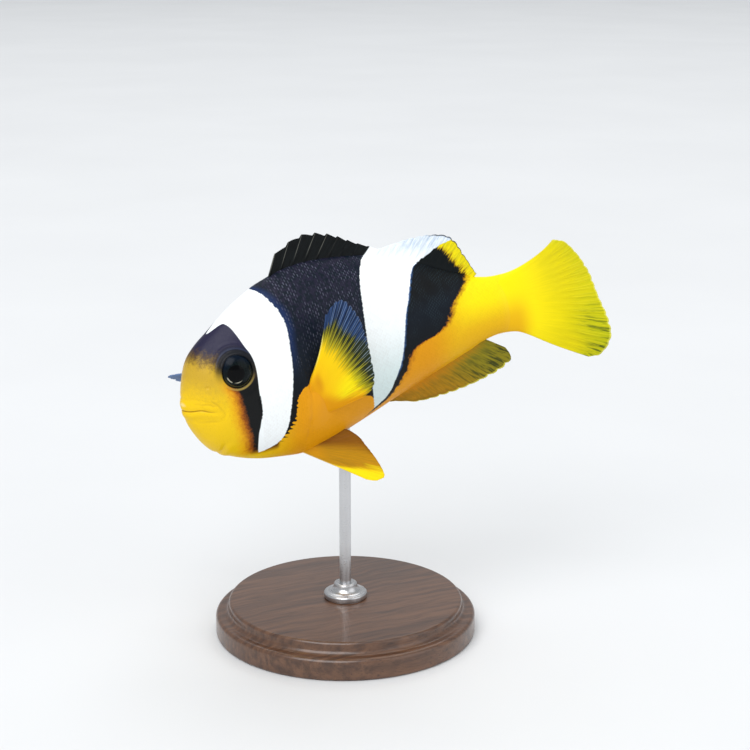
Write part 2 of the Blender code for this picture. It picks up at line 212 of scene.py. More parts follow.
@dataclass
class Sock:
    """A node's output, which can be used in Python expressions."""

    tree: "Tree"
    socket: bpy.types.NodeSocket

    def _math(self, operation: str, *values: Value) -> "Sock":
        """A Math node on these values."""
        return self.tree.node("ShaderNodeMath", {"operation": operation}, dict(enumerate(values)))

    def __add__(self, other: Value) -> "Sock":
        """Sum."""
        return self._math("ADD", self, other)

    __radd__ = __add__

    def __mul__(self, other: Value) -> "Sock":
        """Product."""
        return self._math("MULTIPLY", self, other)

    __rmul__ = __mul__

    def __sub__(self, other: Value) -> "Sock":
        """Difference."""
        return self._math("SUBTRACT", self, other)

    def __rsub__(self, other: Value) -> "Sock":
        """Difference, the other way round."""
        return self._math("SUBTRACT", other, self)

    def __truediv__(self, other: Value) -> "Sock":
        """Quotient."""
        return self._math("DIVIDE", self, other)

    def __pow__(self, other: Value) -> "Sock":
        """Power."""
        return self._math("POWER", self, other)

    def __abs__(self) -> "Sock":
        """Size without the sign."""
        return self._math("ABSOLUTE", self)

    def __neg__(self) -> "Sock":
        """The same number with the other sign."""
        return self._math("MULTIPLY", self, -1.0)

    def most(self, other: Value) -> "Sock":
        """The larger of two values."""
        return self._math("MAXIMUM", self, other)

    def sine(self) -> "Sock":
        """The sine of an angle in radians."""
        return self._math("SINE", self)

    def rise(self, low: Value, high: Value) -> "Sock":
        """A smooth step from 0 at low to 1 at high."""
        settings = {"interpolation_type": "SMOOTHSTEP"}
        return self.tree.node("ShaderNodeMapRange", settings, {0: self, 1: low, 2: high})

    def fall(self, low: Value, high: Value) -> "Sock":
        """A smooth step from 1 at low to 0 at high."""
        return 1.0 - self.rise(low, high)

    def edge(self, half_width: float) -> "Sock":
        """A narrow step from 0 to 1 round 0."""
        return self.rise(-half_width, half_width)

    def ridge(self, centre: float, half_width: float) -> "Sock":
        """1 at the centre, falling smoothly to 0 at half a width to each side."""
        return abs(self - centre).fall(0.0, half_width)


class Tree:
    """The node tree of one material."""

    def __init__(self, name: str) -> None:
        """Starts a material whose only node is its output.

        Args:
            name: The material's name.
        """
        self.material = bpy.data.materials.new(name)
        self.material.use_nodes = True
        self.nodes = self.material.node_tree.nodes
        self.nodes.clear()

    def node(
        self, kind: str, settings: dict[str, object], inputs: dict[int | str, Value], out: int | str = 0
    ) -> Sock:
        """Adds a node.

        Args:
            kind: Its Blender type.
            settings: Its own settings. "points" sets the points of a curve.
            inputs: Values or links for its sockets, by index or name.
            out: The output that is wanted.

        Returns:
            That output.
        """
        made = self.nodes.new(kind)
        for name, value in settings.items():
            if name == "points":
                self._set_points(made.mapping, value)
            else:
                setattr(made, name, value)
        for key, value in inputs.items():
            socket = made.inputs[key]
            if isinstance(value, Sock):
                self.material.node_tree.links.new(value.socket, socket)
            elif isinstance(value, tuple) and socket.type == "RGBA":
                socket.default_value = (*value, 1.0)
            else:
                socket.default_value = value
        return Sock(self, made.outputs[out])

    @staticmethod
    def _set_points(mapping: bpy.types.CurveMapping, points: Sequence[Span]) -> None:
        """Sets a curve's points."""
        curve = mapping.curves[0]
        while len(curve.points) < len(points):
            curve.points.new(0.5, 0.5)
        for point, place in zip(curve.points, points):
            point.location = place
        mapping.update()

    def attribute(self, name: str) -> tuple[Sock, Sock, Sock, Sock]:
        """Reads three numbers kept on the mesh.

        Args:
            name: The attribute's name.

        Returns:
            The vector, and its three numbers.
        """
        vector = self.node("ShaderNodeAttribute", {"attribute_name": name}, {}, "Vector")
        return (vector, *self.split(vector))

    def split(self, vector: Sock) -> tuple[Sock, Sock, Sock]:
        """The three numbers of a vector."""
        first = self.node("ShaderNodeSeparateXYZ", {}, {0: vector})
        owner = first.socket.node
        return first, Sock(self, owner.outputs[1]), Sock(self, owner.outputs[2])

    def vector(self, x: Value, y: Value, z: Value) -> Sock:
        """A vector of three numbers."""
        return self.node("ShaderNodeCombineXYZ", {}, {0: x, 1: y, 2: z})

    def vector_mix(self, first: Sock, second: Sock, share: float) -> Sock:
        """A vector part of the way from one to another."""
        return self.node("ShaderNodeMix", {"data_type": "VECTOR"}, {0: share, 4: first, 5: second}, 1)

    def mix(self, first: Value, second: Value, share: Value, mode: str = "MIX") -> Sock:
        """A colour part of the way from one to another, or to their blend by another mode."""
        settings = {"data_type": "RGBA", "blend_type": mode, "clamp_factor": True}
        return self.node("ShaderNodeMix", settings, {0: share, 6: first, 7: second}, 2)

    def layers(self, colour: Value, layers: Iterable[tuple[Value, Value]]) -> Value:
        """Lays colours over one, in order, each by its share."""
        for tint, share in layers:
            colour = self.mix(colour, tint, share)
        return colour

    def noise(self, place: Sock, scale: float, detail: float, rough: float) -> Sock:
        """Soft noise from about 0.3 to 0.7."""
        values = {"Vector": place, "Scale": scale, "Detail": detail, "Roughness": rough}
        return self.node("ShaderNodeTexNoise", {}, values)

    def mottle(self, place: Sock) -> Sock:
        """The blotches of skin and scales, from 0 to 1 and about a millimetre across."""
        return self.noise(place, 1.3, 3.0, 0.55).rise(0.28, 0.72)

    def stretched(self, place: Sock, scale: tuple[float, float, float]) -> Sock:
        """A place scaled along each axis."""
        settings = {"operation": "MULTIPLY"}
        return self.node("ShaderNodeVectorMath", settings, {0: place, 1: scale})

    def curve(self, value: Sock, points: Sequence[Span]) -> Sock:
        """A smooth function through a few points.

        Args:
            value: Where to read it.
            points: Pairs of value and result, in rising order of value.

        Returns:
            The result, level outside the points.
        """
        ins, outs = [p[0] for p in points], [p[1] for p in points]
        low, high, bottom, top = ins[0], ins[-1], min(outs), max(outs)
        placed = [((i - low) / (high - low), (o - bottom) / (top - bottom)) for i, o in points]
        share = (value - low) / (high - low)
        read = self.node("ShaderNodeFloatCurve", {"points": placed}, {"Value": share})
        return read * (top - bottom) + bottom

    def bump(self, height: Sock, distance: float, strength: float) -> Sock:
        """A normal raised by a height in units of the distance."""
        return self.node("ShaderNodeBump", {}, {"Height": height, "Distance": distance, "Strength": strength})

    def wet(
        self, colour: Value, roughness: Value, specular: float, coat: Span, bump: Sock
    ) -> bpy.types.Material:
        """Finishes a wet skin.

        Args:
            colour: Its colour.
            roughness: Its roughness.
            specular: How much it mirrors.
            coat: The weight and the roughness of the film over it.
            bump: Its normal.

        Returns:
            The finished material.
        """
        values = {"Base Color": colour, "Roughness": roughness, "Specular IOR Level": specular}
        values["Normal"] = bump
        return self.finish({**values, "Coat Weight": coat[0], "Coat Roughness": coat[1]})

    def finish(self, values: dict[int | str, Value]) -> bpy.types.Material:
        """Adds the Principled shader.

        Args:
            values: Values or links of its sockets.

        Returns:
            The finished material.
        """
        shader = self.node("ShaderNodeBsdfPrincipled", {}, values)
        output = self.nodes.new("ShaderNodeOutputMaterial")
        self.material.node_tree.links.new(shader.socket, output.inputs["Surface"])
        return self.material


# ---- the straight fish and its pose


@dataclass(frozen=True)
class Station:
    """One cross-section of the body, in millimetres."""

    x: float
    back: float
    belly: float
    half_width: float
    widest: float


@dataclass(frozen=True)
class Body:
    """The body's outer shape, as the CAD model has it."""

    snout_round: float = 4.6
    tail_round: float = 3.0
    end: float = 77.0
    back_power: float = 1.85
    belly_power: float = 2.1
    stations: tuple[Station, ...] = (
        Station(0.0, 5.2, -6.0, 3.0, 0.4),  # lips
        Station(4.5, 10.5, -10.15, 5.4, 0.3),  # snout
        Station(10.0, 13.9, -13.7, 6.8, 0.2),  # eye
        Station(15.5, 16.9, -15.8, 8.0, 0.0),  # cheek
        Station(22.0, 19.3, -17.0, 8.6, 0.0),  # nape
        Station(30.0, 20.2, -16.6, 8.6, 0.3),  # pectoral fin
        Station(38.0, 19.2, -15.0, 8.0, 0.6),  # mid trunk
        Station(47.0, 16.8, -12.6, 6.8, 0.8),  # vent
        Station(56.0, 12.8, -10.0, 5.1, 0.7),  # soft fins
        Station(65.0, 8.0, -7.2, 3.4, 0.4),  # last rays
        Station(70.5, 6.5, -6.2, 2.5, 0.1),  # peduncle
        Station(77.0, 7.2, -7.4, 1.2, 0.0),  # tail root
    )

    def line(self, measure: str) -> SmoothCurve:
        """One measure of the stations as a function of x."""
        heights = tuple(getattr(station, measure) for station in self.stations)
        return SmoothCurve(tuple(station.x for station in self.stations), heights)

    @staticmethod
    def _round_off(distance: Array, length: float) -> Array:
        """0 at the very end of the body, rising to 1 along a quarter of an ellipse."""
        return np.sqrt(1.0 - (1.0 - np.clip(distance / length, 0.0, 1.0)) ** 2)

    def surface(self, x: Array, angle: Array) -> Array:
        """Points of the body's surface.

        Args:
            x: Places along the fish.
            angle: 0 at the back, turning by the right side to the belly.

        Returns:
            Rows of three coordinates.
        """
        fullness = self._round_off(x, self.snout_round) * self._round_off(self.end - x, self.tail_round)
        level = self.line("widest")(x)
        up, across = np.cos(angle), np.sin(angle)
        above = up > 0
        edge = np.where(above, self.line("back")(x), self.line("belly")(x))
        power = np.where(above, self.back_power, self.belly_power)
        height = np.abs(edge - level) * fullness * np.abs(up) ** (2 / power)
        width = self.line("half_width")(x) * fullness * np.abs(across) ** (2 / power)
        return np.stack([x, np.copysign(width, across), level + np.copysign(height, up)], axis=-1)

    def normals(self, x: Array, angle: Array) -> Array:
        """Outward directions of the surface, found from small steps along it."""
        step, turn, margin = 0.02, 0.01, 0.03
        ahead = np.clip(x + step, margin, self.end - margin)
        behind = np.clip(x - step, margin - step, self.end - margin - step)
        middle = (ahead + behind) / 2
        along = self.surface(ahead, angle) - self.surface(behind, angle)
        across = self.surface(middle, angle + turn) - self.surface(middle, angle - turn)
        out = np.cross(along, across)
        return out / np.maximum(np.linalg.norm(out, axis=-1, keepdims=True), 1e-12)


@dataclass(frozen=True)
class Pose:
    """How the straight fish is bent along its spine and held above the stand."""

    head_turn_deg: float = 12.0
    head_ease: float = 1.6
    tail_turn_deg: float = 34.0
    tail_ease: float = 1.3
    trunk_x: float = 30.0
    tail_x: float = 95.0
    fulcrum_x: float = 37.0
    pitch_deg: float = 12.0
    height: float = 60.0
    spine_start: float = -40.0
    spine_end: float = 120.0
    steps: int = 400

    def heading(self, x: Array) -> Array:
        """The spine's direction at x, in radians: it curves towards the left at both ends."""
        ahead = np.maximum(self.trunk_x - x, 0.0) / self.trunk_x
        behind = np.maximum(x - self.trunk_x, 0.0) / (self.tail_x - self.trunk_x)
        head = math.radians(self.head_turn_deg) * ahead**self.head_ease
        return head - math.radians(self.tail_turn_deg) * behind**self.tail_ease

    def place(self, points: Array) -> Array:
        """Bends points with the spine and sets them in the pose.

        Args:
            points: Rows of three coordinates on the straight fish, in millimetres.

        Returns:
            Rows of three coordinates in the frame of the CAD model, in metres.
        """
        step = (self.spine_end - self.spine_start) / self.steps
        xs = self.spine_start + step * np.arange(self.steps + 1)
        middle = self.heading(xs[:-1] + step / 2)
        line_x = np.concatenate([[0.0], np.cumsum(np.cos(middle) * step)])
        line_y = np.concatenate([[0.0], np.cumsum(np.sin(middle) * step)])
        fulcrum = int((self.fulcrum_x - self.spine_start) / step)
        line_x, line_y = line_x - line_x[fulcrum], line_y - line_y[fulcrum]
        turn = self.heading(points[:, 0])
        x = np.interp(points[:, 0], xs, line_x) - np.sin(turn) * points[:, 1]
        y = np.interp(points[:, 0], xs, line_y) + np.cos(turn) * points[:, 1]
        z = points[:, 2]
        pitch = math.radians(self.pitch_deg)
        forward = x * math.cos(pitch) - z * math.sin(pitch)
        upward = x * math.sin(pitch) + z * math.cos(pitch) + self.height
        return np.stack([forward, y, upward], axis=-1) * MM


@dataclass(frozen=True)
class Swell:
    """A soft ridge, or a groove if its height is negative, in millimetres."""

    at: float | Array
    height: float | Array
    width: float | Array

    def relief(self, place: Array) -> Array:
        """How far it stands out at each place."""
        return self.height * ridge(place - self.at, self.width)


@dataclass(frozen=True)
class EyeSocket:
    """Where an eye sits and how its lids fold round it."""

    centre: tuple[float, float, float] = (10.6, 4.75, 5.9)
    radius: float = 3.7
    depth: float = 2.75
    forward_deg: float = 12.0
    opening: float = 3.12
    rim_level: float = 1.5
    near_level: float = -2.0  # anything deeper belongs to the other side of the head
    levelling: Span = (-1.2, 0.9)
    level_fade: Span = (3.2, 5.4)
    fold_fade: Span = (1.6, 3.4)
    well_edge: Span = (-0.35, 0.05)
    well_depth: float = 2.4
    folds: tuple[tuple[Swell, float], ...] = (  # rings round the eye, and how much each keeps to its top
        (Swell(3.55, 0.20, 0.26), 0.0), (Swell(4.02, -0.14, 0.15), 1.0), (Swell(4.4, 0.16, 0.24), 1.5),
        (Swell(4.85, -0.10, 0.15), 2.0), (Swell(5.25, 0.10, 0.25), 2.0),
    )

    def axes(self, side: Array) -> tuple[Array, Array]:
        """The directions out of the eye and rearwards across it.

        Args:
            side: -1 for the left eye and 1 for the right one, for each point.

        Returns:
            Two sets of rows of three numbers.
        """
        turn = math.radians(self.forward_deg)
        none = np.zeros_like(side)
        out = np.stack([none - math.sin(turn), side * math.cos(turn), none], axis=-1)
        rear = np.stack([none + math.cos(turn), side * math.sin(turn), none], axis=-1)
        return out, rear

    def middles(self, side: Array) -> Array:
        """The centre of each side's eye."""
        x, y, z = self.centre
        return np.stack([np.full_like(side, x), side * y, np.full_like(side, z)], axis=-1)

    @staticmethod
    def sides(points: Array) -> Array:
        """The side that each point is on, as the sign of Y."""
        return np.where(points[:, 1] < 0, -1.0, 1.0)

    def local(self, points: Array) -> tuple[Array, Array, Array]:
        """Places seen from the nearer eye: rearwards, upwards and outwards."""
        side = self.sides(points)
        out, rear = self.axes(side)
        offset = points - self.middles(side)
        return (offset * rear).sum(-1), offset[:, 2], (offset * out).sum(-1)

    def shape(self, points: Array) -> Array:
        """Sinks the socket into the skin and raises the lid and the folds round it."""
        rear, up, level = self.local(points)
        reach = np.hypot(rear, up)
        near = (level > self.near_level).astype(float)
        above = 0.5 + 0.5 * up / np.maximum(reach, 1e-6)
        above = above * fall(rear, *self.fold_fade)
        change = np.clip(self.rim_level - level, *self.levelling) * fall(reach, *self.level_fade)
        for ring, lift in self.folds:
            change += ring.relief(reach) * above**lift
        inner, outer = self.well_edge
        change -= self.well_depth * fall(reach, self.opening + inner, self.opening + outer)
        out, _ = self.axes(self.sides(points))
        return points + out * (change * near)[:, None]


@dataclass(frozen=True)
class Mouth:
    """The closed mouth: its slit, the lips and the fold round its corner."""

    front: float = 0.3
    drop: float = 1.3
    length: float = 5.0
    bend: float = 1.8
    wave: float = 0.10
    wave_rate: float = 2.4
    slit: Swell = Swell(0.0, -0.28, 0.15)
    slit_fade: Span = (2.2, 4.6)
    lips: tuple[tuple[Span, Span, Span], ...] = (  # level, height and width, and their change to the corner
        ((1.2, -0.6), (0.12, -0.06), (0.8, -0.3)),
        ((-0.85, 0.2), (0.13, -0.05), (0.6, -0.2)),
        ((2.5, -1.0), (-0.10, 0.0), (0.4, 0.0)),
        ((-2.0, 0.0), (-0.07, 0.0), (0.5, 0.0)),
    )
    lip_fade: Span = (3.6, 5.6)
    corner: Span = (4.6, -0.6)
    corner_squash: float = 0.8
    corner_fold: Swell = Swell(1.5, -0.1, 0.3)
    corner_front: Span = (4.6, 5.4)
    corner_top: Span = (0.6, 1.6)

    def relief(self, x: Array, z: Array) -> Array:
        """How far the skin stands out at each place."""
        share = x / self.length
        level = self.front - self.drop * np.clip(share, 0.0, 1.1) ** self.bend
        line = z - level + self.wave * np.sin(x * self.wave_rate)
        back = np.clip(share, 0.0, 1.0)
        lips = sum(Swell(*(at + change * back for at, change in lip)).relief(line) for lip in self.lips)
        corner_x, corner_z = self.corner
        corner = np.hypot(x - corner_x, (z - corner_z) * self.corner_squash)
        fold = self.corner_fold.relief(corner) * rise(x, *self.corner_front) * fall(z, *self.corner_top)
        return self.slit.relief(line) * fall(x, *self.slit_fade) + lips * fall(x, *self.lip_fade) + fold


@dataclass(frozen=True)
class GillCover:
    """The gill cover's bowed edge, the groove behind it and the swelling ahead of it."""

    centre_x: float = 2.0
    edge_x: float = 24.0
    half_height: float = 34.0
    foot: Span = (-14.5, -12.0)
    top: Span = (8.0, 10.5)
    groove: float = 0.24
    groove_wall: Span = (-0.08, 0.2)
    groove_length: float = 1.4
    swelling: Swell = Swell(-1.2, 0.08, 1.2)

    def edge(self, z: Array) -> Array:
        """Where the gill cover ends, at each height."""
        bow = np.sqrt(np.clip(1.0 - (z / self.half_height) ** 2, 0.0, 1.0))
        return self.centre_x + (self.edge_x - self.centre_x) * bow

    def relief(self, x: Array, z: Array) -> Array:
        """How far the skin stands out at each place."""
        past = x - self.edge(z)
        fade = np.exp(-np.maximum(past, 0.0) / self.groove_length)
        drop = -self.groove * rise(past, *self.groove_wall) * fade
        return (drop + self.swelling.relief(past) * (past < 0.0)) * rise(z, *self.foot) * fall(z, *self.top)


@dataclass(frozen=True)
class Throat:
    """The notch behind the chin and the two folds below the gills."""

    below: Span = (-9.5, -7.5)
    notch: Swell = Swell(5.0, -0.3, 0.35)
    bulge: Swell = Swell(6.1, 0.22, 0.8)
    fold: Swell = Swell(0.7, -0.12, 0.3)
    fold_spread: float = 0.22
    fold_front: Span = (5.0, 6.5)
    fold_rear: Span = (14.0, 18.0)

    def relief(self, x: Array, y: Array, z: Array) -> Array:
        """How far the skin stands out at each place."""
        apart = np.abs(y) - self.fold_spread * np.maximum(x - self.notch.at, 0.0)
        fold = self.fold.relief(apart) * rise(x, *self.fold_front) * fall(x, *self.fold_rear)
        return fall(z, *self.below) * (self.notch.relief(x) + self.bulge.relief(x) + fold)


@dataclass(frozen=True)
class Nostril:
    """A rimmed hole each side, and a row of pores below it."""

    place: Span = (3.9, 4.5)
    hole: Swell = Swell(0.0, -0.25, 0.24)
    rim: Swell = Swell(0.48, 0.07, 0.16)
    pores: tuple[Span, ...] = ((3.8, 3.1), (3.7, 2.3), (3.6, 1.5), (3.5, 0.7))
    pore: Swell = Swell(0.0, -0.08, 0.14)

    def relief(self, x: Array, z: Array) -> Array:
        """How far the skin stands out at each place."""
        away = np.hypot(x - self.place[0], z - self.place[1])
        height = self.rim.relief(away) + self.hole.relief(away)
        for pore_x, pore_z in self.pores:
            height = height + self.pore.relief(np.hypot(x - pore_x, z - pore_z))
        return height


@dataclass(frozen=True)
class FinRoots:
    """The swellings from which the fins grow."""

    seam: Swell = Swell(0.0, 0.4, 1.2)
    back: tuple[Span, Span] = ((23.0, 27.0), (64.0, 67.0))
    under: tuple[Span, Span] = ((44.0, 48.0), (63.0, 66.0))
    arm: Swell = Swell(0.0, 0.42, 0.9)
    arm_centre: Span = (25.2, -5.6)
    arm_size: Span = (2.6, 4.9)
    arm_slant: float = 0.12
    arm_slant_z: float = -5.4
    breast: Swell = Swell(0.0, 0.35, 1.0)
    breast_centre: Span = (22.8, 2.2)
    breast_size: Span = (3.0, 1.6)
    breast_top: float = -12.0

    def lobe(self, x: Array, z: Array) -> Array:
        """How far a place is from the middle of the lobe that carries a pectoral fin: 1 at its edge."""
        (centre_x, centre_z), (long, tall) = self.arm_centre, self.arm_size
        slanted = x - centre_x - self.arm_slant * (z - self.arm_slant_z)
        return np.hypot(slanted / long, (z - centre_z) / tall)

    def relief(self, x: Array, y: Array, z: Array) -> Array:
        """How far the skin stands out at each place."""
        lines = 0.0
        for (start, end), inside in ((self.back, z > 0), (self.under, z < 0)):
            lines = lines + rise(x, *start) * fall(x, *end) * inside
        (centre_x, centre_y), (long, wide) = self.breast_centre, self.breast_size
        breast = np.hypot((x - centre_x) / long, (np.abs(y) - centre_y) / wide)
        breast = self.breast.relief(breast) * (z < self.breast_top)
        return self.seam.relief(y) * lines + self.arm.relief(self.lobe(x, z)) + breast


@dataclass(frozen=True)
class Flesh:
    """The skin's shape: the body, less the depth of the scales, with the features of the head."""

    body: Body = Body()
    socket: EyeSocket = EyeSocket()
    mouth: Mouth = Mouth()
    gill_cover: GillCover = GillCover()
    throat: Throat = Throat()
    nostril: Nostril = Nostril()
    fin_roots: FinRoots = FinRoots()
    scale_depth: float = 0.10
    scale_start: Span = (4.0, 13.0)
    tail_flat: float = 0.65
    tail_flat_x: Span = (70.0, 74.5)
    tail_low: float = 0.3
    tail_low_x: Span = (72.0, 74.5)

    def skin(self, x: Array, angle: Array, lift: Array | float = 0.0) -> Array:
        """Points of the skin, which thins out where it meets the tail fin.

        Args:
            x: Places along the fish.
            angle: Angles round it, 0 at the back.
            lift: Height above the skin.

        Returns:
            Rows of three coordinates on the straight fish.
        """
        base, out = self.body.surface(x, angle), self.body.normals(x, angle)
        y, z = base[:, 1], base[:, 2]
        height = self.mouth.relief(x, z) + self.gill_cover.relief(x, z) + self.throat.relief(x, y, z)
        height = height + self.nostril.relief(x, z) + self.fin_roots.relief(x, y, z)
        height = height - self.scale_depth * rise(x, *self.scale_start)
        height = height - self.tail_flat * rise(x, *self.tail_flat_x) * out[:, 1] ** 2
        height = height - self.tail_low * rise(x, *self.tail_low_x) * out[:, 2] ** 2
        shaped = self.socket.shape(base + out * height[:, None])
        return shaped + out * np.broadcast_to(lift, x.shape)[:, None]


FLESH = Flesh()
POSE = Pose()


# ---- markings


@dataclass(frozen=True)
class Pigments:
    """The colours that skin, scales and fins share, as linear red, green and blue."""

    lemon: Colour = (0.95, 0.75, 0.001)
    yellow: Colour = (0.84, 0.54, 0.004)
    orange: Colour = (0.74, 0.31, 0.001)
    rust: Colour = (0.30, 0.055, 0.002)
    ochre: Colour = (0.50, 0.31, 0.03)
    umber: Colour = (0.055, 0.028, 0.016)
    white: Colour = (0.90, 0.94, 0.95)
    # painted shade: a greyer, bluer white for the lower part of the middle bar
    painted_shade_white: Colour = (0.66, 0.78, 0.78)
    ink: Colour = (0.0012, 0.0018, 0.0022)
    # navy and plum are a painted sheen on the upper flanks
    navy: Colour = (0.003, 0.008, 0.017)
    plum: Colour = (0.012, 0.0115, 0.028)
    deep_blue: Colour = (0.008, 0.026, 0.10)
    blue: Colour = (0.05, 0.14, 0.36)
    brow: Colour = (0.016, 0.014, 0.042)


PIGMENTS = Pigments()


@dataclass(frozen=True)
class Markings:
    """The bars and patches, as edges x of the height z on the straight fish."""

    head_front: Edge = (
        (-12.6, 12.6), (-11.8, 11.9), (-8.7, 11.9), (-5.8, 12.6), (-2.8, 13.3), (0.9, 13.5), (5.1, 14.1),
        (7.2, 14.0), (9.9, 13.4), (12.1, 12.9), (13.6, 12.5), (14.4, 11.9), (15.2, 10.6), (16.0, 9.0),
    )
    head_rear: Edge = (
        (-12.6, 11.0), (-12.2, 13.0), (-11.7, 14.6), (-10.6, 16.6), (-8.0, 18.2), (-5.5, 19.0), (-1.4, 20.2),
        (2.9, 21.3), (7.3, 22.0), (10.9, 22.6), (13.6, 22.5), (15.3, 21.9), (17.8, 20.6), (18.6, 19.6),
        (19.5, 18.0),
    )
    middle_front: Edge = (
        (-13.0, 39.0), (-8.7, 38.4), (0.0, 38.6), (7.0, 39.4), (9.2, 39.8), (14.0, 41.0), (17.3, 43.3),
        (18.0, 44.8), (19.5, 46.6),
    )
    middle_rear: Edge = (
        (-13.0, 37.8), (-12.3, 38.8), (-10.3, 42.1), (-7.0, 44.3), (-3.7, 46.1), (1.2, 47.8), (5.1, 49.1),
        (7.7, 50.5), (10.2, 51.8), (12.8, 53.7), (13.5, 55.8), (14.5, 58.4), (15.5, 60.8), (16.0, 63.4),
        (17.0, 67.0),
    )
    rear_patch: Edge = (
        (-13.0, 38.4), (-10.9, 42.7), (-8.7, 45.0), (-6.5, 46.8), (-2.6, 49.0), (-1.6, 51.4), (-1.0, 55.0),
        (0.6, 58.1), (4.0, 60.4), (5.9, 62.6), (7.9, 64.6), (9.5, 64.4), (11.0, 63.2), (13.5, 62.0),
        (15.0, 60.6), (16.2, 58.0),
    )
    stripe_front: Edge = (
        (-13.0, 11.3), (-9.9, 10.9), (-6.75, 10.6), (-3.6, 10.0), (-0.5, 9.9), (1.4, 9.8), (3.5, 9.2),
        (6.0, 8.4),
    )
    flank_foot: Edge = (  # this one is a height z at each x
        (14.0, -9.4), (15.4, -10.0), (16.4, -10.7), (17.6, -10.2), (18.8, -8.8), (20.0, -7.2), (20.6, -4.5),
        (21.8, -2.2), (24.2, -1.0), (27.0, -1.8), (29.0, -4.0), (31.0, -6.2), (34.0, -7.5), (37.0, -8.3),
        (38.6, -10.0),
    )
    crisp: float = 0.1
    tooth_rates: Span = (1.2, 3.2)
    tooth_depth: float = 1.5
    toothed_x: Span = (24.0, 27.0)
    toothed_z: Span = (-5.0, -2.0)
    forehead_width: float = 1.7
    forehead_drop: float = 4.0

    def paint(self, tree: Tree, place: Sock, jagged: Sock, mottle: Sock) -> Sock:
        """The colour of the body at a place.

        Args:
            tree: The material's tree.
            place: The place on the straight fish, for the edges of the bars.
            jagged: The place of the nearest scale's root, for the edges that follow the scales.
            mottle: Noise from 0 to 1 with patches under a millimetre across.

        Returns:
            The colour.
        """
        tints = PIGMENTS
        x, y, z = tree.split(place)
        root_x, _, root_z = tree.split(jagged)
        colour = self._face(tree, self.ground(tree, x, z), place, mottle)
        behind_head = x - tree.curve(z, self.head_rear)
        before_middle = tree.curve(z, self.middle_front) - x
        past_middle = x - tree.curve(z, self.middle_rear)

        along, up = self.tooth_rates
        teeth = (0.5 - abs((x * along + z * up).sine())) * self.tooth_depth
        teeth = teeth * x.fall(*self.toothed_x) * root_z.fall(*self.toothed_z)
        foot = root_z - tree.curve(root_x, self.flank_foot) + teeth
        flank = foot.rise(-0.08, 0.08) * behind_head.rise(-0.2, 0.0) * before_middle.rise(-0.2, 0.0)
        patch_edge = tree.curve(root_z, self.rear_patch) - root_x + (mottle - 0.5) * 0.9
        glow = patch_edge.rise(-1.9, 0.2) * x.rise(44.0, 50.0)
        colour = tree.mix(colour, tints.rust, glow * 0.8)
        patch = patch_edge.rise(-0.5, 0.4) * past_middle.rise(-0.2, 0.0)
        colour = tree.mix(colour, self._dark(tree, x, z, mottle), flank.most(patch))

        forehead = abs(y).fall(0.0, self.forehead_width) * z.rise(8.0, 10.5) * self.forehead_drop
        head_bar = (x - tree.curve(z, self.head_front) + forehead).edge(self.crisp)
        head_bar = head_bar * (-behind_head).edge(self.crisp)
        middle_bar = (-before_middle).edge(self.crisp) * (-past_middle).edge(self.crisp)
        # Painted shade: the lower part of the middle bar turns to a greyer white.
        pale = tree.mix(tints.white, tints.painted_shade_white, z.fall(-9.0, 6.0) * x.rise(30.0, 36.0))
        return tree.mix(colour, pale, head_bar.most(middle_bar))

    def ground(self, tree: Tree, x: Sock, z: Sock) -> Sock:
        """Yellow and orange, below all other markings.

        Args:
            tree: The material's tree.
            x: Place along the fish.
            z: Height.

        Returns:
            The colour.
        """
        tints = PIGMENTS
        breast = x.rise(12.0, 22.0) * x.fall(52.0, 66.0)
        low_tail = z.fall(-6.0, 3.0) * x.rise(44.0, 60.0) * 0.45
        warm = tree.mix(tints.yellow, tints.orange, breast.most(low_tail))
        return tree.mix(warm, tints.lemon, z.rise(-3.0, 3.5) * x.rise(56.0, 66.0))

    def _face(self, tree: Tree, colour: Sock, place: Sock, mottle: Sock) -> Sock:
        """The ochre snout, the dark brow, and the stripe ahead of the first bar.

        Args:
            tree: The material's tree.
            colour: What lies under them.
            place: The place on the straight fish.
            mottle: Blotches from 0 to 1.

        Returns:
            The colour.
        """
        tints = PIGMENTS
        x, _, z = tree.split(place)
        head = x.fall(15.5, 16.5)
        speckle = (tree.noise(place, 5.0, 1.0, 0.5) - 0.5) * 2.0
        slope = z + x * 0.55 + (mottle - 0.5) * 1.2 + speckle
        near = x - tree.curve(z, self.stripe_front) + (mottle - 0.5) * 0.5 + speckle * 0.3
        low = z.rise(-13.2, -11.0) * head
        warm = low * z.fall(2.5, 6.0)
        layers = (
            (tints.ochre, slope.rise(1.5, 9.0) * x.fall(4.0, 12.0) * 0.85),
            (tints.orange, near.rise(-3.8, -1.4) * warm * 0.8),
            (tints.rust, near.rise(-2.3, -0.3) * warm * 0.9),
            (tints.ink, near.rise(-1.0, 0.4) * low * z.fall(3.0, 7.0)),
            (tints.umber, slope.rise(9.6, 13.2) * x.fall(11.0, 13.0) * 0.9),
            (tints.brow, slope.rise(12.0, 15.0) * head),
        )
        return tree.layers(colour, layers)

    def _dark(self, tree: Tree, x: Sock, z: Sock, mottle: Sock) -> Sock:
        """The black of the flanks, with a painted blue and plum sheen on the upper side.

        Args:
            tree: The material's tree.
            x: Place along the fish.
            z: Height.
            mottle: Blotches from 0 to 1.

        Returns:
            The colour.
        """
        tints = PIGMENTS
        rear = x.rise(46.0, 50.0)
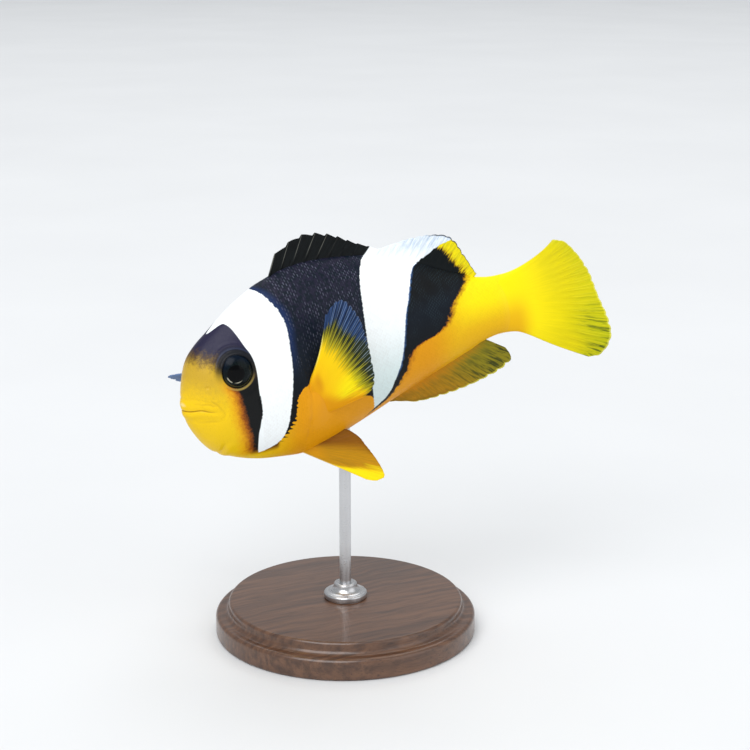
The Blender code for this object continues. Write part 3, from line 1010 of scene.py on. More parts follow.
        # Painted sheen: navy and plum over the black, strongest on the upper side.
        navy_sheen = z.rise(-6.0, 6.0) * (0.9 - rear * (z.rise(4.0, 9.0) * 0.6 + 0.2))
        sheen = z.rise(2.0, 17.0) * x.fall(40.0, 46.0) * mottle.rise(0.25, 0.75)
        edge = (x - tree.curve(z, self.head_rear)).fall(0.2, 2.2) * z.rise(0.0, 10.0)
        rim = (x - tree.curve(z, self.middle_rear) + mottle * 0.4).fall(0.1, 0.8) * x.rise(44.0, 46.0)
        layers = (
            (tints.navy, navy_sheen), (tints.plum, sheen), (tints.deep_blue, edge * 0.8), (tints.blue, rim * 0.8),
        )
        return tree.layers(tints.ink, layers)


MARKINGS = Markings()


# ---- skin


@dataclass(frozen=True)
class SkinFinish:
    """Wet, smooth skin with the body's markings, and painted shade and highlight on the face."""

    name: str = "fish_skin"
    roughness: float = 0.42
    coat: float = 0.08
    # painted shade in the mouth's slit
    slit: Colour = (0.36, 0.18, 0.012)
    # painted highlight on the upper lip
    lip: Colour = (0.85, 0.78, 0.45)
    # painted shade in the creases of the face
    painted_crease_shade: Colour = (0.50, 0.30, 0.01)
    freckle: Colour = (0.55, 0.5, 0.5)
    cheek_fold: Edge = ((-2.4, 5.9), (-1.0, 5.5), (0.3, 4.9), (1.6, 4.0), (2.8, 2.9), (3.6, 1.8))

    def _creases(self, tree: Tree, x: Sock, z: Sock, mottle: Sock) -> Sock:
        """Fine creases over the upper lip, below the mouth and down the cheek.

        Args:
            tree: The material's tree.
            x: Place along the fish.
            z: Height.
            mottle: Blotches from 0 to 1.

        Returns:
            How deep they are, from 0 to 1.
        """
        uneven = (mottle - 0.5) * 0.3
        upper = abs(z - 2.1 + x * 0.30 + uneven).fall(0.05, 0.35) * x.ridge(3.2, 3.0)
        lower = abs(z + 2.0 + x * 0.12).fall(0.05, 0.4) * x.ridge(2.6, 2.4) * 0.7
        cheek = abs(x - tree.curve(z, self.cheek_fold) + uneven).fall(0.05, 0.34) * z.ridge(0.6, 2.6)
        return upper.most(lower).most(cheek)

    def material(self) -> bpy.types.Material:
        """Builds the material."""
        tree = Tree(self.name)
        place, x, y, z = tree.attribute(STRAIGHT)
        mottle = tree.mottle(place)
        colour = MARKINGS.paint(tree, place, place, mottle)
        colour = EyeRing().paint(tree, colour, x, y, z)
        line = z - 0.3 + x * x * 0.05 + (x * FLESH.mouth.wave_rate).sine() * FLESH.mouth.wave
        # Painted shade along the mouth's slit.
        slit = abs(line).fall(0.03, 0.22) * x.fall(2.2, 5.0)
        # Painted highlight at the front of the upper lip.
        lip = abs(z - 1.7).fall(0.1, 0.6) * x.fall(0.01, 0.3)
        creases = self._creases(tree, x, z, mottle)
        # The creases are darkened as painted shade.
        layers = ((self.slit, slit * 0.6), (self.lip, lip * 0.5), (self.painted_crease_shade, creases * 0.4))
        colour = tree.layers(colour, layers)
        freckles = tree.noise(place, 5.5, 2.0, 0.6).rise(0.62, 0.72) * x.fall(10.0, 14.0)
        colour = tree.mix(colour, self.freckle, freckles * 0.5, "MULTIPLY")
        grain = tree.noise(place, 9.0, 3.0, 0.6) * 0.5 + tree.noise(place, 2.2, 2.0, 0.5) - creases * 0.9
        roughness = mottle * 0.12 + self.roughness - 0.06
        return tree.wet(colour, roughness, 0.16, (self.coat, 0.25), tree.bump(grain, 0.00006, 0.6))


@dataclass(frozen=True)
class EyeRing:
    """The lid's colours: black above, gold rim below, painted fold highlights, painted shade in the well."""

    socket: EyeSocket = EyeSocket()
    black: Colour = (0.003, 0.004, 0.007)
    # painted highlight along the ridges of the folds above the eye
    fold: Colour = (0.025, 0.035, 0.08)
    gold: Colour = (0.42, 0.30, 0.07)
    # painted shade in the well round the eyeball
    painted_well_shade: Colour = (0.006, 0.006, 0.006)

    def paint(self, tree: Tree, colour: Sock, x: Sock, y: Sock, z: Sock) -> Sock:
        """Paints the ring over a colour.

        Args:
            tree: The material's tree.
            colour: What lies under it.
            x: Place along the fish.
            y: Place across it.
            z: Height.

        Returns:
            The colour.
        """
        turn = math.radians(self.socket.forward_deg)
        centre_x, centre_y, centre_z = self.socket.centre
        rear = (x - centre_x) * math.cos(turn) + (abs(y) - centre_y) * math.sin(turn)
        up = z - centre_z
        reach = (rear * rear + up * up) ** 0.5
        height = up / reach.most(0.01)
        before_bar = tree.curve(z, MARKINGS.head_front) - x
        dark = reach.fall(3.9, 5.2) * (height + rear / 9.0).rise(-0.95, 0.2) * before_bar.edge(MARKINGS.crisp)
        # Painted highlights: bluish lines along the ridges of the folds above the eye.
        folds = reach.ridge(4.4, 0.3).most(reach.ridge(5.25, 0.3)) * height.rise(0.0, 0.8) * dark
        rim = reach.ridge(3.55, 0.36) * (height - rear / reach.most(0.01) * 0.1).fall(-1.0, -0.3)
        layers = (
            (self.black, dark * 0.97), (self.fold, folds * 0.8), (self.gold, rim * 0.75),
            # painted shade in the well round the eyeball
            (self.painted_well_shade, reach.fall(3.2, 3.4)),
        )
        return tree.layers(colour, layers)


@dataclass
class Skin:
    """The one skin of head, jaw, gill covers, trunk and tail base."""

    rings: int = 300
    segments: int = 320
    ring_places: tuple[Span, ...] = ((0.16, 5.0), (0.46, 17.0), (0.965, 74.0))

    def _along(self, share: Array) -> Array:
        """Where the rings lie: close together on the head and where the body rounds off."""
        (snout, snout_x), (head, head_x), (tail, tail_x) = self.ring_places
        end = FLESH.body.end
        cap = snout_x * (1.0 - np.cos(np.clip(share / snout, 0.0, 1.0) * math.pi / 2))
        middle = np.interp(share, (snout, head, tail), (snout_x, head_x, tail_x))
        tip = tail_x + (end - tail_x) * np.sin(np.clip((share - tail) / (1 - tail), 0.0, 1.0) * math.pi / 2)
        return np.where(share < snout, cap, np.where(share < tail, middle, tip))

    def build(self) -> Piece:
        """Builds the skin from a sphere whose rings are laid along the fish."""
        shape = bmesh.new()
        bmesh.ops.create_uvsphere(shape, u_segments=self.segments, v_segments=self.rings, radius=1.0)
        bmesh.ops.reverse_faces(shape, faces=shape.faces)
        skin = object_from("skin", shape)
        points = coordinates(skin.data)
        share = np.arccos(np.clip(-points[:, 2], -1.0, 1.0)) / math.pi
        angle = np.arctan2(points[:, 1], points[:, 0])
        straight = FLESH.skin(self._along(share), angle)
        store_vectors(skin.data, STRAIGHT, straight)
        move_points(skin.data, POSE.place(straight))
        return skin

    def dress(self, skin: Piece) -> None:
        """Gives the skin its finish."""
        nodes = ("head", "lower_jaw", "gill_cover_left", "gill_cover_right", "trunk", "tail_base")
        hand_over(skin, "skin_yellow", nodes, SkinFinish().material())


# ---- scales


class Region(Enum):
    """The pieces that the coat of scales is parted into."""

    HEAD = "scales_head"
    FLANK_LEFT = "scales_flank_left"
    FLANK_RIGHT = "scales_flank_right"
    REAR = "scales_rear"


@dataclass(frozen=True)
class ScaleFinish:
    """Thin, glossy scales that carry the body's markings, with painted glints and painted shade."""

    name: str = "fish_scales"
    roughness: float = 0.42
    coat: float = 0.04
    bar_share: float = 0.2
    jagged_share: float = 0.3
    # painted glints on the scales' rear edges
    scale_glint: Colour = (0.13, 0.14, 0.20)
    rear_scale_glint: Colour = (0.035, 0.07, 0.09)
    # painted shade towards each scale's rear edge, with a random tone for each scale
    painted_shade_and_tone: Colour = (0.6, 0.5, 0.45)

    def _painted_glints(self, tree: Tree, colour: Sock, place: tuple[Sock, Sock], tile: Sequence[Sock]) -> Sock:
        """Painted glints: pale dashes on the dark scales of the upper flank, and dim ones behind the middle
        bar.

        Args:
            tree: The material's tree.
            colour: What lies under them.
            place: The place on the straight fish and that of the scale's root.
            tile: The place along and across the scale, and the scale's chance.

        Returns:
            The colour.
        """
        x, _, z = tree.split(place[0])
        along, across, chance = tile
        # Painted glints: a pale dash near the rear edge of each scale.
        scale_glint = (along + (chance - 0.5) * 0.16).ridge(0.68, 0.16) * abs(across).fall(0.3, 0.6)
        cloud = tree.noise(place[1], 0.35, 2.0, 0.5).rise(0.38, 0.62)
        upper = z.rise(-1.0, 9.0) * x.rise(21.5, 24.0)
        upper = upper * (tree.curve(z, MARKINGS.middle_front) - x).rise(0.2, 0.6)
        fore = scale_glint * chance.rise(0.1, 0.9) * (cloud * 0.75 + 0.25) * upper
        behind = (x - tree.curve(z, MARKINGS.middle_rear)).rise(0.2, 0.8)
        behind = behind * z.rise(-2.0, 4.0) * x.rise(46.0, 50.0)
        behind = behind * (tree.curve(z, MARKINGS.rear_patch) - x).rise(0.8, 1.6)
        return tree.layers(colour, ((self.scale_glint, fore * 0.75), (self.rear_scale_glint, scale_glint * behind * cloud * 0.35)))

    def material(self) -> bpy.types.Material:
        """Builds the material."""
        tree = Tree(self.name)
        place, _, _, _ = tree.attribute(STRAIGHT)
        root, _, _, _ = tree.attribute("root")
        _, along, across, chance = tree.attribute("tile")
        bars = tree.vector_mix(place, root, self.bar_share)
        jagged = tree.vector_mix(place, root, self.jagged_share)
        colour = MARKINGS.paint(tree, bars, jagged, tree.mottle(place))
        # Painted glints on the scales.
        colour = self._painted_glints(tree, colour, (place, root), (along, across, chance))
        # Painted shade towards each scale's rear edge, and a random tone for each scale.
        painted_shade_and_tone = along.rise(0.35, 0.75) * 0.10 + (chance - 0.5) * 0.10
        colour = tree.mix(colour, self.painted_shade_and_tone, painted_shade_and_tone.most(0.0), "MULTIPLY")
        rings = (along * 26.0 + abs(across) * 6.0).sine() * 0.5
        fans = (across * 34.0).sine() * along.rise(0.2, 0.9) * 0.5
        roughness = chance * 0.1 + self.roughness
        return tree.wet(colour, roughness, 0.13, (self.coat, 0.2), tree.bump(rings + fans, 0.00001, 0.5))


@dataclass(frozen=True)
class Scales:
    """Where scales sit on the skin: each array has one row for each scale."""

    x: Array
    angle: Array
    pitch: Array
    zone: Array
    root: Array
    draws: Array

    def only(self, keep: Array) -> "Scales":
        """The scales that a mask keeps."""
        parts = (self.x, self.angle, self.pitch, self.zone, self.root, self.draws)
        return Scales(*(part[keep] for part in parts))


@dataclass
class ScaleCoat:
    """Rows of overlapping scales, each a thin closed lens that follows the skin below it."""

    sides: int = 12
    half_length: float = 1.05
    half_width: float = 0.64
    front_taper: float = 0.25
    dome: float = 0.022
    front_height: float = -0.08
    rear_height: float = 0.02
    rim_deg: float = 50.0
    seed: int = 7
    zones: tuple[tuple[float, float, int], ...] = (
        (8.0, 25.0, 94), (17.0, 50.0, 90), (50.0, 58.5, 74), (58.5, 66.0, 56), (66.0, 76.2, 42),
    )
    end: float = 76.2
    eye_clear: Span = (5.0, 7.0)
    brow_x: float = 11.8
    brow_slant: float = -0.1
    cheek_x: float = 10.4
    face_fade: float = 2.4
    lobe_clear: Span = (0.75, 1.3)
    tail_fade: Span = (70.5, 74.0)
    bare_limit: float = 0.03
    bare_sink: float = 0.09
    gill_clear: Span = (-0.3, 0.1)
    least_size: float = 0.95
    size_spread: float = 0.1
    turn_spread: float = 0.16
    least_tilt: float = 0.85
    tilt_spread: float = 0.3
    step: float = 0.05
    map_margin: float = 0.02
    map_patch: float = 0.0015

    def _template(self) -> Piece:
        """One scale as a low closed dome, reaching 1 to each side."""
        shape = bmesh.new()
        bmesh.ops.create_cone(shape, cap_ends=True, segments=self.sides, radius1=1.0, radius2=0.55, depth=1.0)
        top = max(shape.faces, key=lambda face: face.calc_center_median().z)
        bmesh.ops.poke(shape, faces=[top])
        for v in shape.verts:
            reach = math.hypot(v.co.x, v.co.y)
            v.co.z = max(1.0 - reach**2, 0.0)
        return object_from("scale_template", shape)

    def _outline(self, x: float, steps: int) -> tuple[Array, Array]:
        """The body's outline at x: angles round it, and the length up to each of them."""
        turn = np.linspace(0.0, 2 * math.pi, steps + 1)
        ring = FLESH.body.surface(np.full_like(turn, x), turn)
        return turn, np.concatenate([[0.0], np.cumsum(np.linalg.norm(np.diff(ring, axis=0), axis=1))])

    def _row(self, x: float, count: int, shift: float) -> Array:
        """Angles of the scales of one ring, evenly spaced along the body's outline."""
        turn, length = self._outline(x, 360)
        return np.interp((np.arange(count) + shift) / count * length[-1], length, turn)

    def _lattice(self) -> tuple[Array, Array, Array, Array]:
        """All places where a scale may sit.

        Returns:
            Places along the fish, angles, pitches, and the number of each place's zone.
        """
        xs, angles, pitches, zone_of = [], [], [], []
        for zone, (start, end, count) in enumerate(self.zones):
            x, odd = start, False
            while x < end:
                pitch = float(self._outline(x, 180)[1][-1]) / count
                xs.append(np.full(count, x))
                angles.append(self._row(x, count, 0.5 if odd else 0.0))
                pitches.append(np.full(count, pitch))
                zone_of.append(np.full(count, zone))
                x += pitch / 2
                odd = not odd
        return tuple(np.concatenate(part) for part in (xs, angles, pitches, zone_of))

    def _bareness(self, x: Array, root: Array) -> Array:
        """How far each scale stands out: 1 in the coat, falling to 0 where the skin is bare."""
        rear, up, level = FLESH.socket.local(root)
        z = root[:, 2]
        clear_of_eye = rise(np.hypot(rear, up), *self.eye_clear)
        from_eye = np.where(level < FLESH.socket.near_level, 1.0, clear_of_eye)
        face = np.where(z > 0.0, self.brow_x + self.brow_slant * z, self.cheek_x)
        from_face = rise(x, face, face + self.face_fade)
        lobe = rise(FLESH.fin_roots.lobe(x, z), *self.lobe_clear)
        return from_eye * from_face * lobe * fall(x, *self.tail_fade)

    def _wanted(self, x: Array, root: Array, zone: Array, pitch: Array) -> Array:
        """Which places of the lattice hold a scale.

        Args:
            x: Places along the fish.
            root: The same on the straight fish.
            zone: Their zones' numbers.
            pitch: Their pitches.

        Returns:
            A mask.
        """
        past_gill = x - FLESH.gill_cover.edge(root[:, 2])
        before, behind = self.gill_clear
        head = (zone == 0) & (past_gill < before * pitch)
        trunk = (zone > 0) & (past_gill > behind * pitch)
        return (head | trunk) & (self._bareness(x, root) > self.bare_limit) & (x < self.end)

    def build(self) -> list[tuple[Region, Piece]]:
        """Builds the pieces of the coat."""
        x, angle, pitch, zone = self._lattice()
        root = FLESH.skin(x, angle)
        keep = self._wanted(x, root, zone, pitch)
        draws = np.random.default_rng(self.seed).random((int(keep.sum()), 5))
        scales = Scales(x[keep], angle[keep], pitch[keep], zone[keep], root[keep], draws)
        left = scales.root[:, 1] < 0
        where = {
            Region.HEAD: scales.zone == 0,
            Region.FLANK_LEFT: (scales.zone == 1) & left,
            Region.FLANK_RIGHT: (scales.zone == 1) & ~left,
            Region.REAR: scales.zone > 1,
        }
        template = self._template()
        pieces = []
        for region, mask in where.items():
            pieces.append((region, self._piece(region, template, scales.only(mask))))
        bpy.data.objects.remove(template)
        return pieces

    @staticmethod
    def _copies(name: str, template: Piece, count: int) -> Piece:
        """Joins copies of the template into one object.

        Args:
            name: The object's name.
            template: The scale that is copied.
            count: How many.

        Returns:
            The object.
        """
        copies = template.modifiers.new("copies", "ARRAY")
        copies.use_relative_offset = False
        copies.count = count
        graph = bpy.context.evaluated_depsgraph_get()
        mesh = bpy.data.meshes.new_from_object(template.evaluated_get(graph))
        template.modifiers.clear()
        mesh.name = name
        made = bpy.data.objects.new(name, mesh)
        bpy.context.scene.collection.objects.link(made)
        return made

    @staticmethod
    def _stretch(x: Array, angle: Array, step_x: float, step_angle: float) -> Array:
        """How far the body's surface runs from a step before each place to a step behind it."""
        ahead = FLESH.body.surface(x - step_x, angle - step_angle)
        behind = FLESH.body.surface(x + step_x, angle + step_angle)
        return np.linalg.norm(behind - ahead, axis=1)

    def _laid(self, cell: Array, scales: Scales) -> Array:
        """Lays one scale at each root, with small differences in size, turn and tilt.

        Args:
            cell: The template's points.
            scales: Where the scales sit.

        Returns:
            Rows of three coordinates on the straight fish, scale after scale.
        """
        x, angle, step = scales.x, scales.angle, self.step
        u, v, w = cell[:, 0], cell[:, 1], cell[:, 2]
        size = scales.pitch * (self.least_size + self.size_spread * scales.draws[:, 0])
        turn = (scales.draws[:, 1] - 0.5) * self.turn_spread
        narrowed = v * np.sqrt(np.clip(1.0 - self.front_taper * np.maximum(-u, 0.0), 0.0, 1.0))
        long = u[None, :] * self.half_length * size[:, None]
        wide = narrowed[None, :] * self.half_width * size[:, None]
        down = long * np.cos(turn)[:, None] - wide * np.sin(turn)[:, None]
        side = long * np.sin(turn)[:, None] + wide * np.cos(turn)[:, None]
        at_x = x[:, None] + down * (2 * step / self._stretch(x, angle, step, 0.0))[:, None]
        at_x = np.clip(at_x, step, FLESH.body.end - step)
        at_angle = angle[:, None] + side * (2 * step / self._stretch(x, angle, 0.0, step))[:, None]
        tilt = self.front_height + (self.rear_height - self.front_height) * (u + 1.0) / 2.0
        tilt = tilt[None, :] * (self.least_tilt + self.tilt_spread * scales.draws[:, 2])[:, None]
        sink = self.bare_sink * (1.0 - self._bareness(x, scales.root))
        lift = (tilt + self.dome * w[None, :]) * np.minimum(size, 1.0)[:, None] - sink[:, None]
        return FLESH.skin(at_x.ravel(), at_angle.ravel(), lift.ravel())

    def _piece(self, region: Region, template: Piece, scales: Scales) -> Piece:
        """Joins copies of the template and lays each at its root.

        Args:
            region: The piece to make.
            template: The scale that is copied.
            scales: Where the piece's scales sit.

        Returns:
            The piece.
        """
        cell, count = coordinates(template.data), len(scales.x)
        made = self._copies(region.value, template, count)
        mesh = made.data
        straight = self._laid(cell, scales)
        store_vectors(mesh, STRAIGHT, straight)
        store_vectors(mesh, "root", np.repeat(scales.root, len(cell), axis=0))
        chance = np.broadcast_to(scales.draws[:, 3][:, None], (count, len(cell)))
        tile = np.stack([np.tile(cell[:, 0], (count, 1)), np.tile(cell[:, 1], (count, 1)), chance], axis=-1)
        store_vectors(mesh, "tile", tile.reshape(-1, 3))
        self._bake_map(mesh, cell, scales)
        move_points(mesh, POSE.place(straight))
        mesh.shade_smooth()
        mesh.set_sharp_from_angle(angle=math.radians(self.rim_deg))
        return made

    def _bake_map(self, mesh: bpy.types.Mesh, cell: Array, scales: Scales) -> None:
        """Unwraps each scale as a small patch at its root's place on an unwrap of the skin.

        Args:
            mesh: The scales of one piece.
            cell: The template's points.
            scales: Where the scales sit.
        """
        round_share = scales.angle / (2 * math.pi) % 1.0
        centre = np.stack([scales.x / FLESH.body.end, round_share], axis=-1)
        centre = self.map_margin + (1.0 - 2.0 * self.map_margin) * centre
        spots = centre[:, None, :] + self.map_patch * cell[None, :, :2]
        index = np.empty(len(mesh.loops), np.int32)
        mesh.loops.foreach_get("vertex_index", index)
        layer = mesh.uv_layers.new(name=BAKE_MAP)
        layer.data.foreach_set("uv", spots.reshape(-1, 2)[index].astype(np.float32).ravel())

    def dress(self, pieces: list[tuple[Region, Piece]]) -> None:
        """Gives the scales their finish."""
        finish = ScaleFinish().material()
        slots = {Region.HEAD: "skin_white", Region.REAR: "skin_yellow"}
        for region, piece in pieces:
            hand_over(piece, slots.get(region, "skin_black"), (), finish)


# ---- fins


@dataclass(frozen=True)
class Ray:
    """One of the rays that shape a fin, in degrees and millimetres."""

    share: float
    angle: float
    length: float
    lean: float = 0.0


def plane_of(along: Sequence[float], up: Sequence[float]) -> Array:
    """A fin's plane as three columns: along it, up it (squared to the first) and out of it."""
    first = Vector(along).normalized()
    second = Vector(up)
    second = (second - first * second.dot(first)).normalized()
    return np.array(Matrix((first, second, first.cross(second))).transposed())


class FinKind(Enum):
    """The eight fins."""

    SPINY_DORSAL = "dorsal_fin_spiny"
    SOFT_DORSAL = "dorsal_fin_soft"
    ANAL = "anal_fin"
    TAIL = "tail_fin"
    PECTORAL_LEFT = "pectoral_fin_left"
    PECTORAL_RIGHT = "pectoral_fin_right"
    PELVIC_LEFT = "pelvic_fin_left"
    PELVIC_RIGHT = "pelvic_fin_right"


@dataclass(frozen=True)
class FinPlan:
    """A fin's outline, its rays and how thick it is."""

    kind: FinKind
    root: Callable[[Array], Array]
    rays: tuple[Ray, ...]
    plane: Array
    count: int
    thick: float
    rows: int = 60
    per_ray: int = 10
    notch: float = 0.03
    spiny: bool = False
    fleshy: float = 0.0
    ripple: float = 0.12
    quilting: float = 0.02
    smooth: float = 0.2
    relief_share: float = 0.55
    hollow: float = 0.0
    taper: float = 2.0
    buried: float = 0.0
    ease: float = 0.0
    square: float = 4.0

    def point(self, share: Array, reach: Array) -> Array:
        """Places on the fin's middle surface, reach being 0 at the root and 1 at the margin."""
        shares = tuple(ray.share for ray in self.rays)
        measures = zip(*((ray.angle, ray.length, ray.lean) for ray in self.rays))
        angle, length, lean = (SmoothCurve(shares, measure)(share) for measure in measures)
        turn, trail, run = np.radians(angle), np.radians(lean) * np.maximum(reach, 0.0), length * reach
        flat = run * np.cos(trail)
        eased = self.ease * np.logaddexp(0.0, flat / self.ease) if self.ease > 0.0 else flat
        towards = math.copysign(1.0, self.rays[-1].angle - self.rays[0].angle)
        bow = towards * self.hollow * np.sin(math.pi * np.maximum(reach, 0.0))
        bow = bow * fall(share, 0.0, 0.35)
        across, up = flat * np.cos(turn) - bow * np.sin(turn), eased * np.sin(turn) + bow * np.cos(turn)
        local = np.stack([across, up, -run * np.sin(trail)], axis=-1)
        return self.root(share) + local @ self.plane.T

    def relief(self, share: Array, reach: Array) -> tuple[Array, Array]:
        """How much of a ray there is at each place, and how far the margin draws back there."""
        place = share * (self.count - 1)
        off = np.abs(place - np.round(place))
        if self.spiny:
            behind = np.clip(place - np.floor(place + 1e-6), 0.0, 1.0)
            depth = self.notch * (1.0 - 0.75 * share)
            return ridge(off, 0.17 - 0.11 * reach), depth * behind**1.1 * fall(behind, 0.88, 1.0)
        fork, second = 0.22 * rise(reach, 0.35, 0.95), 0.10 * rise(reach, 0.6, 1.0)
        bars = ridge(np.abs(off - fork) - second, 0.22 - 0.14 * rise(reach, 0.2, 0.8))
        uneven = 1.0 + 0.6 * np.sin(place * 2.3 + 0.7) * np.sin(place * 5.1)
        tips = 0.7 * (0.5 - 0.5 * np.cos(off * 2 * math.pi)) + 0.3 * (1.0 - bars)
        return bars, self.notch * uneven * tips


@dataclass(frozen=True)
class FanPlace:
    """Where a fin's colour is asked for, on the straight fish and on the fan of rays."""

    tree: Tree
    x: Sock
    z: Sock
    share: Sock
    reach: Sock
    ray: Sock
    streak: Sock
    count: int

    def ground(self) -> Sock:
        """The yellow and orange of the body at this place."""
        return MARKINGS.ground(self.tree, self.x, self.z)

    def lines(self, doubled: Sock) -> Sock:
        """A thin line along each ray, which parts into two where the ray forks."""
        turn = self.share * ((self.count - 1) * 2 * math.pi) + math.pi / 2
        single = turn.sine().rise(0.90, 0.99)
        forks = [(turn + doubled * shift).sine().rise(0.92, 0.99) for shift in (1.1, -1.1)]
        return single * doubled.fall(0.0, 0.1) + forks[0].most(forks[1]) * doubled.rise(0.0, 0.1)


class FinPaint:
    """A fin's own colours, streaked along the rays."""

    def paint(self, at: FanPlace) -> Sock:
        """The colour of a fin.

        Args:
            at: The place that is painted.

        Returns:
            The colour.
        """
        raise NotImplementedError


@dataclass(frozen=True)
class SpinyDorsalPaint(FinPaint):
    """Black, with pale edges along the first spines, and white where the middle bar reaches it."""

    black: Colour = (0.0012, 0.0018, 0.002)
    streak: Colour = (0.004, 0.006, 0.007)
    spine: Colour = (0.22, 0.22, 0.19)

    def paint(self, at: FanPlace) -> Sock:
        """The colour of the fin."""
        tree = at.tree
        pale = at.ray.rise(0.75, 0.98) * at.reach.rise(0.35, 0.75) * at.share.fall(0.42, 0.6)
        white = (at.x - tree.curve(at.z, MARKINGS.middle_front)).rise(-0.1, 0.3)
        colour = tree.mix(self.black, self.streak, at.streak)
        return tree.layers(colour, ((self.spine, pale * 0.55), (PIGMENTS.white, white)))


@dataclass(frozen=True)
class SoftDorsalPaint(FinPaint):
    """White, black and yellow, as the body below it."""

    yellow: Colour = (0.82, 0.68, 0.004)
    olive: Colour = (0.52, 0.48, 0.01)
    black: Colour = (0.0016, 0.0035, 0.0045)
    white: Colour = (0.86, 0.92, 0.97)
    blue_streak: Colour = (0.28, 0.42, 0.62)
    margin: Colour = (0.01, 0.015, 0.03)

    def paint(self, at: FanPlace) -> Sock:
        """The colour of the fin."""
        tree, share, reach = at.tree, at.share, at.reach
        wave = (at.streak - 0.5) * 0.7
        bar = (tree.curve(at.z, MARKINGS.middle_rear) - at.x + wave).rise(-0.15, 0.25)
        patch = tree.curve(at.z, MARKINGS.rear_patch) - at.x + wave * 2.0
        streaks = at.streak * reach.rise(0.45, 0.8) * share.rise(0.1, 0.3) * 0.6
        layers = (
            (PIGMENTS.rust, patch.rise(-1.2, 0.1) * 0.6),
            (self.black, patch.rise(-0.5, 0.5)),
            (tree.mix(self.white, self.blue_streak, streaks), bar),
            (self.margin, reach.rise(0.965, 0.985) * share.rise(0.35, 0.5) * 0.9),
        )
        return tree.layers(tree.mix(self.yellow, self.olive, at.ray.rise(0.3, 0.9) * at.streak), layers)


@dataclass(frozen=True)
class AnalPaint(FinPaint):
    """Orange at the root, olive gold towards the margin, with dark streaks and a pale edge."""

    gold: Colour = (0.40, 0.19, 0.004)
    rear_gold: Colour = (0.24, 0.20, 0.008)
    olive: Colour = (0.10, 0.10, 0.01)
    root: Colour = (0.56, 0.22, 0.002)
    dark: Colour = (0.018, 0.026, 0.005)
    front: Colour = (0.14, 0.08, 0.006)
    margin: Colour = (0.62, 0.56, 0.06)

    def paint(self, at: FanPlace) -> Sock:
        """The colour of the fin."""
        share, reach, streak = at.share, at.reach, at.streak
        rear = share.rise(0.35, 0.85)
        layers = (
            (self.olive, streak * (rear * 0.4 + 0.35) * reach.rise(0.2, 0.5)),
            (self.root, (reach + share * 0.4 + (streak - 0.5) * 0.15).fall(0.30, 0.80)),
            (self.dark, streak.rise(0.5, 0.85) * reach.rise(0.4, 0.8) * rear * 0.8),
            (self.front, reach.rise(0.8, 0.96) * share.fall(0.3, 0.6) * 0.5),
            (self.margin, reach.rise(0.955, 0.985) * share.fall(0.86, 0.95) * 0.85),
        )
        return at.tree.layers(at.tree.mix(self.gold, self.rear_gold, rear), layers)


@dataclass(frozen=True)
class TailPaint(FinPaint):
    """Yellow, growing olive outwards, with dark streaks towards the lower corner."""

    root: Colour = (0.92, 0.74, 0.002)
    yellow: Colour = (0.68, 0.57, 0.001)
    olive: Colour = (0.38, 0.40, 0.002)
    ray: Colour = (0.78, 0.70, 0.03)
    dark: Colour = (0.05, 0.08, 0.006)
    margin: Colour = (0.86, 0.80, 0.14)
    olive_start: Edge = ((0.0, 0.78), (0.12, 0.72), (0.24, 0.60), (0.48, 0.66), (0.69, 0.74), (1.0, 0.8))

    def paint(self, at: FanPlace) -> Sock:
        """The colour of the fin."""
        share, reach, streak = at.share, at.reach, at.streak
        past = reach - at.tree.curve(share, self.olive_start)
        low = share.fall(0.12, 0.6)
        lines = at.lines(reach.rise(0.4, 1.0)) * past.rise(0.0, 0.1)
        layers = (
            (self.root, reach.rise(0.0, 0.25)),
            (self.yellow, (reach + (streak - 0.5) * 0.1).rise(0.12, 0.62)),
            (self.olive, past.rise(-0.15, 0.3) * (streak * 0.4 + low * 0.45 + 0.3)),
            (self.ray, lines * 0.24),
            (self.dark, streak.rise(0.5, 0.85) * past.rise(0.0, 0.22) * share.fall(0.1, 0.55) * 0.9),
            (self.margin, reach.rise(0.978, 0.99) * 0.5),
        )
        return at.tree.layers(at.ground(), layers)


